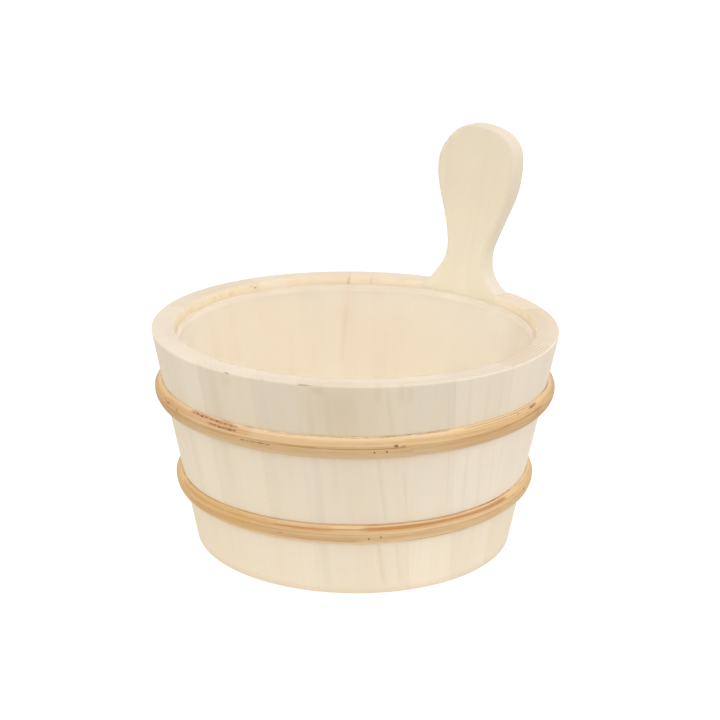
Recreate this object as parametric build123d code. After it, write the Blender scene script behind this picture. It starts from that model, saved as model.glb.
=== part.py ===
from build123d import *
import math
import os

os.makedirs("parts", exist_ok=True)

# Millimetres, +Z up. The origin is the pail's axis in the plane it stands on, and +Y points to the long stave.

# ---- driving dimensions ----
rim_r = 135.0          # outer radius at the rim
base_r = 106.9         # outer radius at the base
pail_h = 146.9         # height of the rim
wall = 14.8            # wall thickness, measured horizontally
stave_gap = 0.05       # hairline between neighbouring staves
rim_round = 1.0        # softened arrises of the rim
chime_bevel = 2.0      # bevel inside the foot

groove_z = 9.0         # underside of the groove that holds the bottom
groove_w = 10.3        # its height
groove_d = 4.6         # its depth into the wall
bottom_t = 10.0        # bottom thickness
bottom_play = 0.25     # room round the bottom in its groove
board_gap = 0.12       # hairline between bottom boards

handle_reach = 113.9   # top of the grip above the rim
handle_t = 14.6        # grip thickness, measured horizontally
grip_round = 2.4       # softened arrises of the grip

liner_drop = 5.4       # liner lip below the rim
liner_wall = 1.1       # liner wall
liner_play = 0.45      # room between liner and wood
liner_bend = 9.0       # radius where the liner's wall meets its floor

hoop_clear = 0.08      # hairline behind the hoops
upper_z, upper_w, upper_v = 99.3, 14.3, 6.1   # upper hoop: foot, height along the wall, thickness
lower_z, lower_w, lower_v = 38.5, 13.3, 5.3   # lower hoop

brad_head_r, brad_shank_r = 0.80, 0.60
brad_head_t, brad_len, brad_play = 0.7, 13.0, 0.06

# ---- derived ----
taper = (rim_r - base_r) / pail_h
lean = math.atan(taper)
sl, cl = math.sin(lean), math.cos(lean)


def outer_r(z):
    return base_r + taper * z


def inner_r(z):
    return outer_r(z) - wall


# Joints between staves, as azimuths clockwise from +Y seen from above: at the rim and at the base.
# The first pair bounds the long stave; the staves are of random widths and their joints lean a little.
joints = [
    (-15.0, -17.0),
    (16.2, 13.6),
    (34.4, 30.6),
    (57.0, 51.8),
    (74.1, 68.4),
    (95.5, 88.6),
    (115.1, 105.8),
    (129.2, 122.0),
    (156.2, 153.0),
    (168.9, 166.0),
    (187.3, 185.4),
    (206.5, 202.0),
    (225.3, 221.4),
    (245.5, 240.9),
    (266.5, 262.8),
    (285.5, 281.3),
    (297.0, 293.9),
    (319.7, 315.2),
    (327.2, 324.1),
]


def polar(r, deg, z):
    a = math.radians(deg)
    return Vector(r * math.sin(a), r * math.cos(a), z)


def joint_plane(top_deg, base_deg):
    """Plane of one stave joint; its normal points to growing azimuth."""
    a = polar(rim_r, top_deg, pail_h)
    b = polar(base_r, base_deg, 0.0)
    mid = math.radians((top_deg + base_deg) / 2)
    radial = Vector(math.sin(mid), math.cos(mid), 0.0)
    up = (a - b).normalized()
    # the joint stands square to the wall: its plane holds the line up the wall and the radial direction
    normal = up.cross(radial).normalized()
    tangent = Vector(math.cos(mid), -math.sin(mid), 0.0)
    if normal.dot(tangent) < 0:
        normal = normal * -1
    return a, normal, up


def half_space(origin, normal, up, shift):
    """A block that fills the side that the normal points to, its face moved by shift along the normal."""
    face = Plane(origin=origin + normal * shift, x_dir=up, z_dir=normal)
    return face * Box(900, 900, 420, align=(Align.CENTER, Align.CENTER, Align.MIN))


def between(shape, first, second):
    """The part of a shape between two joints."""
    a, n, up = joint_plane(*first)
    shape = shape & half_space(a, n, up, stave_gap / 2)
    a, n, up = joint_plane(*second)
    return shape & half_space(a, n * -1, up, stave_gap / 2)


# ---- wall ----
def wall_shell(rounded):
    z1 = groove_z
    z2 = groove_z + groove_w
    pts = [
        (inner_r(0) + chime_bevel, 0),
        (outer_r(0) - 0.8, 0),
        (outer_r(0.8), 0.8),
    ]
    if rounded:
        pts += [
            (outer_r(pail_h - rim_round), pail_h - rim_round),
            (outer_r(pail_h) - 0.30 * rim_round - 0.05, pail_h - 0.28 * rim_round),
            (outer_r(pail_h) - rim_round, pail_h),
            (inner_r(pail_h) + 0.8, pail_h),
            (inner_r(pail_h) + 0.16, pail_h - 0.24),
            (inner_r(pail_h - 0.9), pail_h - 0.9),
        ]
    else:
        pts += [(outer_r(pail_h), pail_h), (inner_r(pail_h), pail_h)]
    pts += [
        (inner_r(z2), z2),
        (inner_r(z2) + groove_d, z2),
        (inner_r(z1) + groove_d, z1),
        (inner_r(z1), z1),
        (inner_r(chime_bevel), chime_bevel),
    ]
    face = Plane.XZ * make_face(Polyline([Vector(x, y, 0) for x, y in pts], close=True))
    return revolve(face, Axis.Z, 360)


shell = wall_shell(True)
nodes = {}
for i in range(1, len(joints)):
    second = joints[i + 1] if i + 1 < len(joints) else (joints[0][0] + 360, joints[0][1] + 360)
    nodes["stave_%02d" % i] = between(shell, joints[i], second)

# ---- long stave with its grip ----
# Outline of the grip seen from the pail's axis: x to the side, height above the rim.
outline_left = [
    (-30.4, 0.0),
    (-26.4, 2.9),
    (-23.4, 7.3),
    (-20.0, 12.2),
    (-17.6, 17.0),
    (-16.4, 22.0),
    (-16.2, 27.4),
    (-17.0, 33.0),
    (-19.0, 39.6),
    (-21.1, 46.0),
    (-23.9, 53.6),
    (-27.2, 61.0),
    (-30.3, 69.2),
    (-32.5, 77.4),
    (-33.4, 85.4),
    (-32.6, 93.0),
    (-29.4, 100.4),
    (-23.8, 107.2),
    (-16.0, 112.2),
]
outline_top = [(-6.0, handle_reach)]
outline_right = [
    (5.2, 112.9),
    (15.7, 109.8),
    (24.1, 104.6),
    (29.2, 97.6),
    (31.4, 89.4),
    (31.8, 80.6),
    (31.2, 71.8),
    (29.1, 63.0),
    (26.0, 54.0),
    (23.0, 45.4),
    (20.1, 37.2),
    (17.7, 29.6),
    (16.8, 22.6),
    (17.8, 16.2),
    (20.5, 10.4),
    (25.0, 5.6),
    (30.2, 2.5),
    (36.0, 0.0),
]
outline = outline_left + outline_top + outline_right


def grip_section(dz, half):
    """Horizontal section of the grip at a height above the rim: it leaves the rim curved like the wall and flattens out."""
    z = pail_h + dz
    y_in = inner_r(pail_h) + taper * dz
    flat = min(1.0, max(0.0, dz) / 60.0)
    flat = flat * flat * (3 - 2 * flat)
    bend_in = 1.0 / ((1 - flat) / inner_r(pail_h) + flat / 420.0)
    thick = wall + (handle_t - wall) * flat
    bend_out = bend_in + thick

    def arc(y_mid, rad):
        drop = rad - math.sqrt(rad * rad - half * half)
        return Vector(-half, y_mid - drop, z), Vector(0, y_mid, z), Vector(half, y_mid - drop, z)

    a, b, c = arc(y_in, bend_in)
    d, e, f = arc(y_in + thick, bend_out)
    return Wire([
        ThreePointArc(a, b, c),
        Line(c, f),
        ThreePointArc(f, e, d),
        Line(d, a),
    ])


slab = Solid.make_loft([grip_section(dz, 44.0) for dz in (0.0, 6.0, 14.0, 25.0, 40.0, 60.0, 90.0, 122.0)])
edge = Spline([Vector(x, 0, pail_h + dz) for x, dz in outline])
base_line = Line(edge @ 1, edge @ 0)
prism = extrude(make_face([edge, base_line]), amount=260, dir=(0, 1, 0))
grip = slab & prism
# soften both long arrises of the grip
grip = fillet([e for e in grip.edges() if e.length > 200], grip_round)
grip = between(grip, joints[0], joints[1])

# Under the grip the stave keeps its full section; beside it the rim is softened like the other staves.
foot = Pos(2.6, 0, pail_h / 2) * Box(62.4, 900, 400)
long_stave = between(shell, joints[0], joints[1]) + (between(wall_shell(False), joints[0], joints[1]) & foot)
long_stave = long_stave + grip
nodes["handle_stave"] = long_stave

# ---- bottom: three boards, edge to edge, in the groove ----
bz = groove_z + (groove_w - bottom_t) / 2
disc_profile = [
    (0, bz),
    (inner_r(groove_z) + groove_d - bottom_play, bz),
    (inner_r(groove_z + groove_w) + groove_d - bottom_play - 0.3, bz + bottom_t),
    (0, bz + bottom_t),
]
disc = revolve(
    Plane.XZ * make_face(Polyline([Vector(x, y, 0) for x, y in disc_profile], close=True)), Axis.Z, 360
)
cuts = (-38.0, 29.0)
strips = {
    "bottom_board_left": (-200.0, cuts[0] - board_gap / 2),
    "bottom_board_middle": (cuts[0] + board_gap / 2, cuts[1] - board_gap / 2),
    "bottom_board_right": (cuts[1] + board_gap / 2, 200.0),
}
for name, (x0, x1) in strips.items():
    block = Pos((x0 + x1) / 2, 0, bz + bottom_t / 2) * Box(x1 - x0, 400, 40)
    nodes[name] = disc & block

# ---- liner: thin insert with a flat floor, resting just above the bottom ----
floor_z = groove_z + groove_w + 0.35 - (groove_w - bottom_t) / 2
lip_z = pail_h - liner_drop
ro_top = inner_r(lip_z) - liner_play
ro_low = inner_r(floor_z) - liner_play


def liner_profile():
    w = liner_wall
    poly = Polyline(
        [
            Vector(0, floor_z, 0),
            Vector(ro_low, floor_z, 0),
            Vector(ro_top, lip_z, 0),
            Vector(ro_top - w, lip_z, 0),
            Vector(ro_low - w, floor_z + w, 0),
            Vector(0, floor_z + w, 0),
        ],
        close=True,
    )
    face = make_face(poly)
    out_c = [v for v in face.vertices() if abs(v.X - ro_low) < 1e-3 and abs(v.Y - floor_z) < 1e-3]
    face = fillet(out_c, liner_bend)
    in_c = [v for v in face.vertices() if abs(v.X - (ro_low - w)) < 1e-3 and abs(v.Y - floor_z - w) < 1e-3]
    face = fillet(in_c, liner_bend - w)
    lip = [v for v in face.vertices() if abs(v.Y - lip_z) < 1e-3]
    return fillet(lip, 0.4)


nodes["liner"] = revolve(Plane.XZ * liner_profile(), Axis.Z, 360)

# ---- hoops: half-round strips bent round the pail, their ends lapped at the front ----
def smooth_table(table, deg):
    """Periodic smooth interpolation through (azimuth, value) pairs."""
    deg = deg % 360
    table = sorted((a % 360, v) for a, v in table)
    table = table + [(table[0][0] + 360, table[0][1])]
    if deg < table[0][0]:
        deg += 360
    for (a0, v0), (a1, v1) in zip(table, table[1:]):
        if a0 <= deg <= a1:
            t = (deg - a0) / (a1 - a0)
            t = t * t * (3 - 2 * t)
            return v0 + (v1 - v0) * t
    return table[0][1]


# Half-round face of a strip as fractions of its height and thickness: round below, a soft crease, then a flatter upper facet.
face_low = [(0.0, 0.0), (0.012, 0.26), (0.05, 0.50), (0.13, 0.745), (0.25, 0.90), (0.38, 0.975), (0.50, 1.0), (0.60, 0.985)]
face_high = [(0.755, 0.83), (0.82, 0.67), (0.89, 0.465), (0.95, 0.26), (0.985, 0.10), (1.0, 0.0)]
crease = (0.69, 0.935)


def section_points(w, v):
    """(along the wall, off the wall) points of the strip's rounded face, from foot to top."""
    return [(a * w, b * v) for a, b in face_low + [crease] + face_high]


def face_height(w, v, u):
    """How far the strip's face stands off at height u."""
    pts = section_points(w, v)
    for (a0, b0), (a1, b1) in zip(pts, pts[1:]):
        if a0 <= u <= a1:
            return b0 + (b1 - b0) * (u - a0) / (a1 - a0)
    return 0.0


def place(deg, z_foot, u, v):
    """A point at height u along the wall from z_foot and v off the wall."""
    r = outer_r(z_foot) + u * sl + v * cl
    z = z_foot + u * cl - v * sl
    return polar(r, deg, z)


def hoop_wire(deg, z_foot, w, v):
    pts = [(u, q + hoop_clear) for u, q in section_points(w, v)]
    pts3 = [place(deg, z_foot, u, q) for u, q in pts]
    return Wire([Spline(pts3), Line(pts3[-1], pts3[0])])


def hoop(z_foot, w, v, rise, swell):
    halves = []
    for start in (0, 180):
        sections = []
        for k in range(0, 13):
            deg = start + 15.0 * k
            sections.append(
                hoop_wire(
                    deg,
                    z_foot + smooth_table(rise, deg),
                    w * (1 + smooth_table(swell, deg)),
                    v * (1 + 1.2 * smooth_table(swell, deg)),
                )
            )
        halves.append(Solid.make_loft(sections))
    return halves[0] + halves[1]


def tongue(z_foot, w, v, rise, first, last, proud):
    """The outer lap of a strip: the lower half of its section, rising out of the strip from first and ending square at last."""
    sections = []
    steps = 9
    for k in range(steps):
        t = k / (steps - 1)
        deg = first + (last - first) * t
        grow = -0.55 + (proud + 0.55) * min(1.0, t / 0.45) ** 0.8
        base = z_foot + smooth_table(rise, deg) - 0.9 * grow
        low = [p for p in section_points(w, v) if p[0] <= crease[0] * w + 0.01]
        pts3 = [place(deg, base, u, max(q + grow, 0.0) + hoop_clear) for u, q in low]
        top_in = place(deg, base, low[-1][0] + 0.2, hoop_clear)
        sections.append(Wire([Spline(pts3), Line(pts3[-1], top_in), Line(top_in, pts3[0])]))
    return Solid.make_loft(sections)


upper_rise = [(0 - 38.5, 0.0), (45 - 38.5, 0.3), (90 - 38.5, 0.8), (112 - 38.5, 1.2), (135 - 38.5, 1.2),
              (154 - 38.5, 0.6), (180 - 38.5, 0.0), (210 - 38.5, -0.3), (230 - 38.5, -0.3), (270 - 38.5, -0.2),
              (315 - 38.5, 0.1)]
lower_rise = [(0 - 38.5, 0.2), (45 - 38.5, 0.5), (90 - 38.5, 0.7), (120 - 38.5, 0.9), (140 - 38.5, 0.5),
              (180 - 38.5, 0.0), (215 - 38.5, -0.7), (245 - 38.5, -0.8), (285 - 38.5, -0.6), (320 - 38.5, -0.1)]
upper_swell = [(20, 0.02), (75, -0.02), (120, 0.015), (165, 0.02), (200, -0.01), (250, 0.02), (310, -0.02)]
lower_swell = [(10, -0.02), (60, 0.02), (110, 0.0), (150, 0.01), (205, -0.03), (260, 0.01), (320, 0.02)]

upper = hoop(upper_z, upper_w, upper_v, upper_rise, upper_swell)
lower = hoop(lower_z, lower_w, lower_v, lower_rise, lower_swell)
lap_proud = 0.5
upper = upper + tongue(upper_z, upper_w, upper_v, upper_rise, 200.0, 124.5, lap_proud)
lower = lower + tongue(lower_z, lower_w, lower_v, lower_rise, 187.0, 131.0, lap_proud)

# ---- brads through the laps: hoop, azimuth, height along the wall ----
brads = [
    ("upper", 136.3, 7.1),
    ("upper", 133.1, 7.2),
    ("lower", 136.9, 6.4),
    ("lower", 133.4, 7.0),
]


def brad(which, deg, u, grow):
    if which == "upper":
        z0, w, v = upper_z + smooth_table(upper_rise, deg), upper_w, upper_v
    else:
        z0, w, v = lower_z + smooth_table(lower_rise, deg), lower_w, lower_v
    p = place(deg, z0 - 0.9 * lap_proud, u, face_height(w, v, u) + lap_proud + hoop_clear - 0.12)
    a = math.radians(deg)
    inward = Vector(-math.sin(a) * cl, -math.cos(a) * cl, sl)
    pl = Plane(origin=p, x_dir=Vector(math.cos(a), -math.sin(a), 0), z_dir=inward)
    head = pl * Cylinder(brad_head_r + grow, brad_head_t + grow, align=(Align.CENTER, Align.CENTER, Align.MIN))
    if grow:
        mouth = pl * Cylinder(brad_head_r + grow, 3.0, align=(Align.CENTER, Align.CENTER, Align.MAX))
        head = head + mouth
    shank = pl * Cylinder(brad_shank_r + grow, brad_len + grow, align=(Align.CENTER, Align.CENTER, Align.MIN))
    return head + shank


holes = [brad(h, d, u, brad_play) for h, d, u in brads]
for h in holes[:2]:
    upper = upper - h
for h in holes[2:]:
    lower = lower - h
nodes["hoop_upper"] = upper
nodes["hoop_lower"] = lower
for name in list(nodes):
    if name.startswith("stave_"):
        for h in holes:
            got = nodes[name] & h
            if got is not None and getattr(got, "volume", 0) > 1e-3:
                nodes[name] = nodes[name] - h
nodes["hoop_brads"] = Compound(children=[Solid(brad(h, d, u, 0).solids()[0].wrapped) for h, d, u in brads])

for name, shape in nodes.items():
    solids = shape.solids()
    want = 4 if name == "hoop_brads" else 1
    print(name, len(solids), round(shape.volume, 1), [s.is_valid for s in solids].count(False), "" if len(solids) == want else "SOLIDS?")
    if want == 1 and len(solids) == 1:
        shape = solids[0]
    export_step(shape, "parts/%s.step" % name)
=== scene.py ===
import bmesh
import bpy
import math
import numpy as np
from mathutils import Matrix, Vector
from mathutils.bvhtree import BVHTree


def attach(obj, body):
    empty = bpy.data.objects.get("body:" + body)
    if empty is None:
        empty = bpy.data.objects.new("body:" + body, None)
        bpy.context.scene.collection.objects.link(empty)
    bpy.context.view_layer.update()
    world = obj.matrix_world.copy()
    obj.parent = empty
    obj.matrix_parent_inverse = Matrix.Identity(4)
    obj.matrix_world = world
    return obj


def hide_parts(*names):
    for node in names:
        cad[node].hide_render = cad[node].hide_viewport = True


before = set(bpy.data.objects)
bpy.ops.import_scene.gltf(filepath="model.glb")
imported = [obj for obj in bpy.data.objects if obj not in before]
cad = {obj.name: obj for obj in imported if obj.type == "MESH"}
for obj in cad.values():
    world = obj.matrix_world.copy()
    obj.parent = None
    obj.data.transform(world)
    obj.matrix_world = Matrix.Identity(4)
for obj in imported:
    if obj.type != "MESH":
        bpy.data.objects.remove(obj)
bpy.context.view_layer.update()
scene = bpy.context.scene

# ------------------------------------------------------------------ sizes (metres, degrees)
RIM_R, BASE_R, PAIL_H, WALL = 0.135, 0.1069, 0.1469, 0.0148
TAPER = (RIM_R - BASE_R) / PAIL_H
LEAN = math.atan(TAPER)
SL, CL = math.sin(LEAN), math.cos(LEAN)
LIP_Z = PAIL_H - 0.0054

# azimuths clockwise from +Y, at the rim and at the base
JOINTS = [
    (-15.0, -17.0), (16.2, 13.6), (34.4, 30.6), (57.0, 51.8), (74.1, 68.4), (95.5, 88.6), (115.1, 105.8),
    (129.2, 122.0), (156.2, 153.0), (168.9, 166.0), (187.3, 185.4), (206.5, 202.0), (225.3, 221.4),
    (245.5, 240.9), (266.5, 262.8), (285.5, 281.3), (297.0, 293.9), (319.7, 315.2), (327.2, 324.1), (345.0, 343.0),
]


def srgb(r, g, b):
    """Linear colour from 8-bit display values."""
    def one(c):
        c /= 255.0
        return c / 12.92 if c <= 0.04045 else ((c + 0.055) / 1.055) ** 2.4
    return (one(r), one(g), one(b), 1.0)


# ------------------------------------------------------------------ node helper
class Net:
    def __init__(self, name):
        self.mat = bpy.data.materials.new(name)
        self.mat.use_nodes = True
        self.tree = self.mat.node_tree
        self.tree.nodes.clear()
        self.column = 0

    def node(self, kind, **props):
        n = self.tree.nodes.new(kind)
        n.location = (200 * (self.column % 40), -180 * (self.column // 40))
        self.column += 1
        for k, v in props.items():
            setattr(n, k, v)
        return n

    def put(self, socket, value):
        if value is None:
            return
        if isinstance(value, bpy.types.NodeSocket):
            self.tree.links.new(value, socket)
        else:
            socket.default_value = value

    def m(self, op, a, b=None, c=None, clamp=False):
        n = self.node("ShaderNodeMath", operation=op, use_clamp=clamp)
        for i, x in enumerate((a, b, c)):
            if x is not None:
                self.put(n.inputs[i], x)
        return n.outputs[0]

    def add(self, a, b):
        return self.m("ADD", a, b)

    def sub(self, a, b):
        return self.m("SUBTRACT", a, b)

    def mul(self, a, b, clamp=False):
        return self.m("MULTIPLY", a, b, clamp=clamp)

    def most(self, a, b):
        return self.m("MAXIMUM", a, b)

    def object_coords(self):
        return self.node("ShaderNodeTexCoord").outputs["Object"]

    def turn(self, vector, angles=(0, 0, 0), shift=(0, 0, 0), scale=(1, 1, 1)):
        n = self.node("ShaderNodeMapping", vector_type="POINT")
        self.put(n.inputs["Vector"], vector)
        n.inputs["Rotation"].default_value = angles
        n.inputs["Location"].default_value = shift
        n.inputs["Scale"].default_value = scale
        return n.outputs[0]

    def xyz(self, vector):
        n = self.node("ShaderNodeSeparateXYZ")
        self.put(n.inputs[0], vector)
        return n.outputs[0], n.outputs[1], n.outputs[2]

    def vec(self, x, y, z):
        n = self.node("ShaderNodeCombineXYZ")
        for i, v in enumerate((x, y, z)):
            self.put(n.inputs[i], v)
        return n.outputs[0]

    def noise(self, vector, scale=1.0, detail=3.0, rough=0.5, warp=0.0):
        n = self.node("ShaderNodeTexNoise", noise_dimensions="3D", normalize=True)
        self.put(n.inputs["Vector"], vector)
        n.inputs["Scale"].default_value = scale
        n.inputs["Detail"].default_value = detail
        n.inputs["Roughness"].default_value = rough
        n.inputs["Distortion"].default_value = warp
        return n.outputs["Fac"]

    def step(self, x, lo, hi, out_lo=0.0, out_hi=1.0, kind="SMOOTHSTEP"):
        n = self.node("ShaderNodeMapRange", interpolation_type=kind, clamp=True)
        self.put(n.inputs["Value"], x)
        self.put(n.inputs["From Min"], lo)
        self.put(n.inputs["From Max"], hi)
        self.put(n.inputs["To Min"], out_lo)
        self.put(n.inputs["To Max"], out_hi)
        return n.outputs["Result"]

    def mix(self, fac, a, b, blend="MIX"):
        n = self.node("ShaderNodeMix", data_type="RGBA", blend_type=blend, clamp_factor=True)
        self.put(n.inputs[0], fac)
        self.put(n.inputs[6], a)
        self.put(n.inputs[7], b)
        return n.outputs[2]

    def scale_colour(self, colour, value):
        """Colour times a number."""
        grey = self.node("ShaderNodeCombineColor")
        for i in range(3):
            self.put(grey.inputs[i], value)
        return self.mix(1.0, colour, grey.outputs[0], "MULTIPLY")

    def ramp(self, fac, stops):
        n = self.node("ShaderNodeValToRGB")
        self.put(n.inputs[0], fac)
        e = n.color_ramp.elements
        while len(e) < len(stops):
            e.new(0.5)
        for el, (p, c) in zip(e, stops):
            el.position = p
            el.color = c if len(c) == 4 else (*c, 1.0)
        return n.outputs[0]

    def bump(self, height, distance, strength=1.0, normal=None):
        n = self.node("ShaderNodeBump")
        n.inputs["Strength"].default_value = strength
        n.inputs["Distance"].default_value = distance
        self.put(n.inputs["Height"], height)
        if normal is not None:
            self.put(n.inputs["Normal"], normal)
        return n.outputs[0]

    def finish(self, shader):
        out = self.node("ShaderNodeOutputMaterial")
        self.put(out.inputs["Surface"], shader)
        return self.mat


# ------------------------------------------------------------------ mesh helpers
def table_at(table, deg):
    """Smooth periodic interpolation through (azimuth, value) pairs; deg is an array."""
    pts = sorted((a % 360, v) for a, v in table)
    a = np.array([p[0] for p in pts] + [pts[0][0] + 360])
    v = np.array([p[1] for p in pts] + [pts[0][1]])
    d = np.asarray(deg, float) % 360
    d = np.where(d < a[0], d + 360, d)
    i = np.clip(np.searchsorted(a, d, side="right") - 1, 0, len(a) - 2)
    t = (d - a[i]) / (a[i + 1] - a[i])
    t = t * t * (3 - 2 * t)
    return v[i] + (v[i + 1] - v[i]) * t


def build(name, points, faces, attributes, material):
    me = bpy.data.meshes.new(name)
    me.from_pydata(points, [], faces)
    for key, values in attributes.items():
        at = me.attributes.new(key, "FLOAT", "POINT")
        at.data.foreach_set("value", np.asarray(values, np.float32))
    me.materials.append(material)
    me.update()
    o = bpy.data.objects.new(name, me)
    scene.collection.objects.link(o)
    return o


# ------------------------------------------------------------------ wood of the staves
PALE = srgb(240, 226, 203)
COOL = srgb(239, 228, 211)
MILD = srgb(232, 213, 184)
TAN = srgb(211, 184, 146)
GREY = srgb(228, 214, 195)
BROWN = srgb(150, 112, 70)
HONEY_PAINTED_BOUNCE = srgb(222, 204, 160)
RIM_TINT = (0.955, 0.946, 0.975, 1)
WARM_RIM = (0.98, 0.946, 0.933, 1)


def polar(r, deg, z):
    a = math.radians(deg)
    return Vector((r * math.sin(a), r * math.cos(a), z))


def joint_plane(top, foot):
    """The plane of a joint: it holds the line up the wall and the radial direction; its normal points to growing azimuth."""
    a, b = polar(RIM_R, top, PAIL_H), polar(BASE_R, foot, 0.0)
    mid = math.radians((top + foot) / 2)
    normal = (a - b).normalized().cross(Vector((math.sin(mid), math.cos(mid), 0.0))).normalized()
    if normal.dot(Vector((math.cos(mid), -math.sin(mid), 0.0))) < 0:
        normal = -normal
    return a, normal, mid


def wood(name, middle, pair=None, tone=1.0, warm=0.0, grey=0.0, slope=0.0, tilt=0.0, pith=(0.04, -0.05),
         seed=0.0, marks=(), lines=(), ring=0.0030, ring_gain=1.0, end_gain=0.15, end_painted_light=1.0, lip=0.26, calm=1.0,
         end_tint=RIM_TINT, zone_light=None, upright=False, boards=False):
    """Bare pale wood, solid through: growth rings round a pith line, long fibres, soft streaks and clouds.

    middle is the stave's azimuth, pair its two joints. marks are (azimuth, z mm, half width mm, half height mm,
    strength, colour, face); lines are (azimuth, z, azimuth, z, width mm, strength, side, colour, face). face is 1 for
    the outside and -1 for the inside of the wall; side 0 is a band soft on both sides, otherwise its sharper side."""
    net = Net(name)
    co = net.object_coords()
    if boards:
        local = net.turn(co, (math.radians(90), 0, 0))
    else:
        local = net.turn(co, (0, 0, math.radians(middle)))
    x, y, z = net.xyz(local)
    lean = 0.0 if (upright or boards) else LEAN
    grain = net.turn(local, (lean, math.radians(tilt), 0), (seed * 0.37, seed * 0.21, seed * 0.53))
    # slow waviness, so that no line along the grain is quite straight
    wave = net.noise(net.turn(grain, scale=(16, 16, 5)), 1.0, 2.0, 0.5)
    wx = net.mul(net.sub(wave, 0.5), 0.010)
    gx, gy, gz = net.xyz(grain)
    gx = net.add(gx, wx)
    gy = net.add(gy, net.mul(wx, 0.7))
    fibre_dir = net.vec(gx, gy, gz)

    # growth rings
    px = net.sub(gx, seed * 0.37 + pith[0])
    py = net.sub(gy, seed * 0.21 + pith[1] + (0.0 if boards else 0.12))
    reach = net.m("SQRT", net.add(net.mul(px, px), net.mul(py, py)))
    ring_noise = net.noise(net.turn(fibre_dir, scale=(34, 34, 4)), 1.0, 2.0, 0.5)
    phase = net.add(net.m("DIVIDE", reach, ring), net.mul(ring_noise, 1.2))
    saw = net.m("FRACT", phase)
    late = net.mul(net.step(saw, 0.30, 0.90), net.step(saw, 0.99, 0.90))
    # streaks, fibres, clouds
    streak = net.noise(net.turn(fibre_dir, scale=(210, 210, 4.0)), 1.0, 2.0, 0.45)
    fine = net.noise(net.turn(fibre_dir, scale=(1500, 1500, 22)), 1.0, 2.0, 0.55)
    broad = net.noise(net.turn(fibre_dir, scale=(70, 70, 2.6)), 1.0, 2.0, 0.5)
    cloud = net.noise(net.turn(grain, scale=(17, 17, 9)), 1.0, 2.0, 0.5)

    colour = net.mix(net.step(streak, 0.36, 0.78, 0.0, 0.12 * calm), PALE, MILD)
    colour = net.mix(net.step(broad, 0.42, 0.78, 0.0, 0.27 * calm), colour, MILD)
    colour = net.mix(net.step(broad, 0.48, 0.22, 0.0, 0.31 * calm), colour, COOL)
    colour = net.mix(net.step(cloud, 0.45, 0.75, 0.0, 0.20 * calm), colour, GREY)
    colour = net.mix(net.mul(late, 0.020 * ring_gain), colour, TAN)
    # short brown pores, only here and there
    pore = net.noise(net.turn(fibre_dir, scale=(900, 900, 95)), 1.0, 1.0, 0.5)
    sparse = net.step(net.noise(net.turn(grain, scale=(40, 40, 22)), 1.0, 1.0, 0.5), 0.52, 0.68)
    colour = net.mix(net.mul(net.mul(net.step(pore, 0.70, 0.80), sparse), 0.14), colour, TAN)
    value = net.add(1.0, net.mul(net.sub(fine, 0.5), 0.035 * calm))

    # end grain on the upward and downward faces
    normal = net.node("ShaderNodeNewGeometry").outputs["Normal"]
    nz = net.m("ABSOLUTE", net.xyz(normal)[2])
    end = net.step(nz, 0.30 if upright else 0.80, 0.85 if upright else 0.95) if not boards else None
    if end is not None:
        pits = net.noise(net.turn(local, scale=(2600, 2600, 2600)), 1.0, 1.0, 0.5)
        rays = net.noise(net.turn(local, scale=(1150, 130, 400)), 1.0, 2.0, 0.6)
        colour = net.mix(net.mul(end, net.mul(late, 0.40 * end_gain)), colour, TAN)
        colour = net.mix(net.mul(end, net.step(rays, 0.50, 0.74, 0.0, 0.03 + 0.24 * end_gain)), colour, MILD)
        value = net.sub(value, net.mul(end, net.step(pits, 0.60, 0.74, 0.0, 0.03)))
        colour = net.mix(end, colour, end_tint, "MULTIPLY")
        # painted light: the end grain of the rim is made lighter or darker stave by stave, as the light falls on it
        if end_painted_light != 1.0:
            value = net.mul(value, net.add(1.0, net.mul(end, end_painted_light - 1.0)))

    height = net.add(net.mul(fine, 0.55), net.add(net.mul(streak, 0.5), net.mul(late, -0.12)))
    if pair is not None:
        edges = []
        for top, foot in pair:
            a, n, mid = joint_plane(top, foot)
            dot = net.node("ShaderNodeVectorMath", operation="DOT_PRODUCT")
            net.put(dot.inputs[0], co)
            dot.inputs[1].default_value = n
            edges.append(net.sub(dot.outputs["Value"], n.dot(a)))
        across = net.m("DIVIDE", edges[0], net.sub(edges[0], edges[1]))
    if not boards:
        delta = net.m("ARCTAN2", x, y)
        radius = net.m("SQRT", net.add(net.mul(x, x), net.mul(y, y)))
        depth = net.sub(radius, net.add(BASE_R, net.mul(z, TAPER)))
        outside = net.step(depth, -0.0100, -0.0050)
        inside = net.sub(1.0, outside)
        # painted warm bounce light: the inner face is tinted warmer, standing in for light reflected inside the pail
        inner = net.step(depth, -0.0134, -0.0145)
        if upright:
            inner = net.mul(inner, net.step(z, PAIL_H + 0.030, PAIL_H - 0.004))
        inner = net.mul(inner, net.step(nz, 0.85, 0.60))
        tint = net.step(across, 0.05, 0.95, *lip) if isinstance(lip, tuple) else lip
        colour = net.mix(net.mul(inner, tint), colour, HONEY_PAINTED_BOUNCE)
        if upright:
            # the grip is tinted a little cooler, and a little darker and warmer from the neck up
            colour = net.mix(1.0, colour, (0.935, 0.980, 1.0, 1), "MULTIPLY")
            colour = net.mix(net.step(z, 0.170, 0.235), colour, (0.978, 0.955, 0.935, 1), "MULTIPLY")
        # painted contact shade: the foot is darker and warmer towards the floor
        colour = net.mix(net.step(z, 0.040, 0.0, 0.0, 0.16), colour, srgb(233, 208, 170))
        colour = net.mix(net.step(z, 0.006, 0.0, 0.0, 0.24), colour, srgb(214, 184, 138))
    if pair is not None:
        near = net.m("MINIMUM", net.m("ABSOLUTE", edges[0]), net.m("ABSOLUTE", edges[1]))
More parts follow.
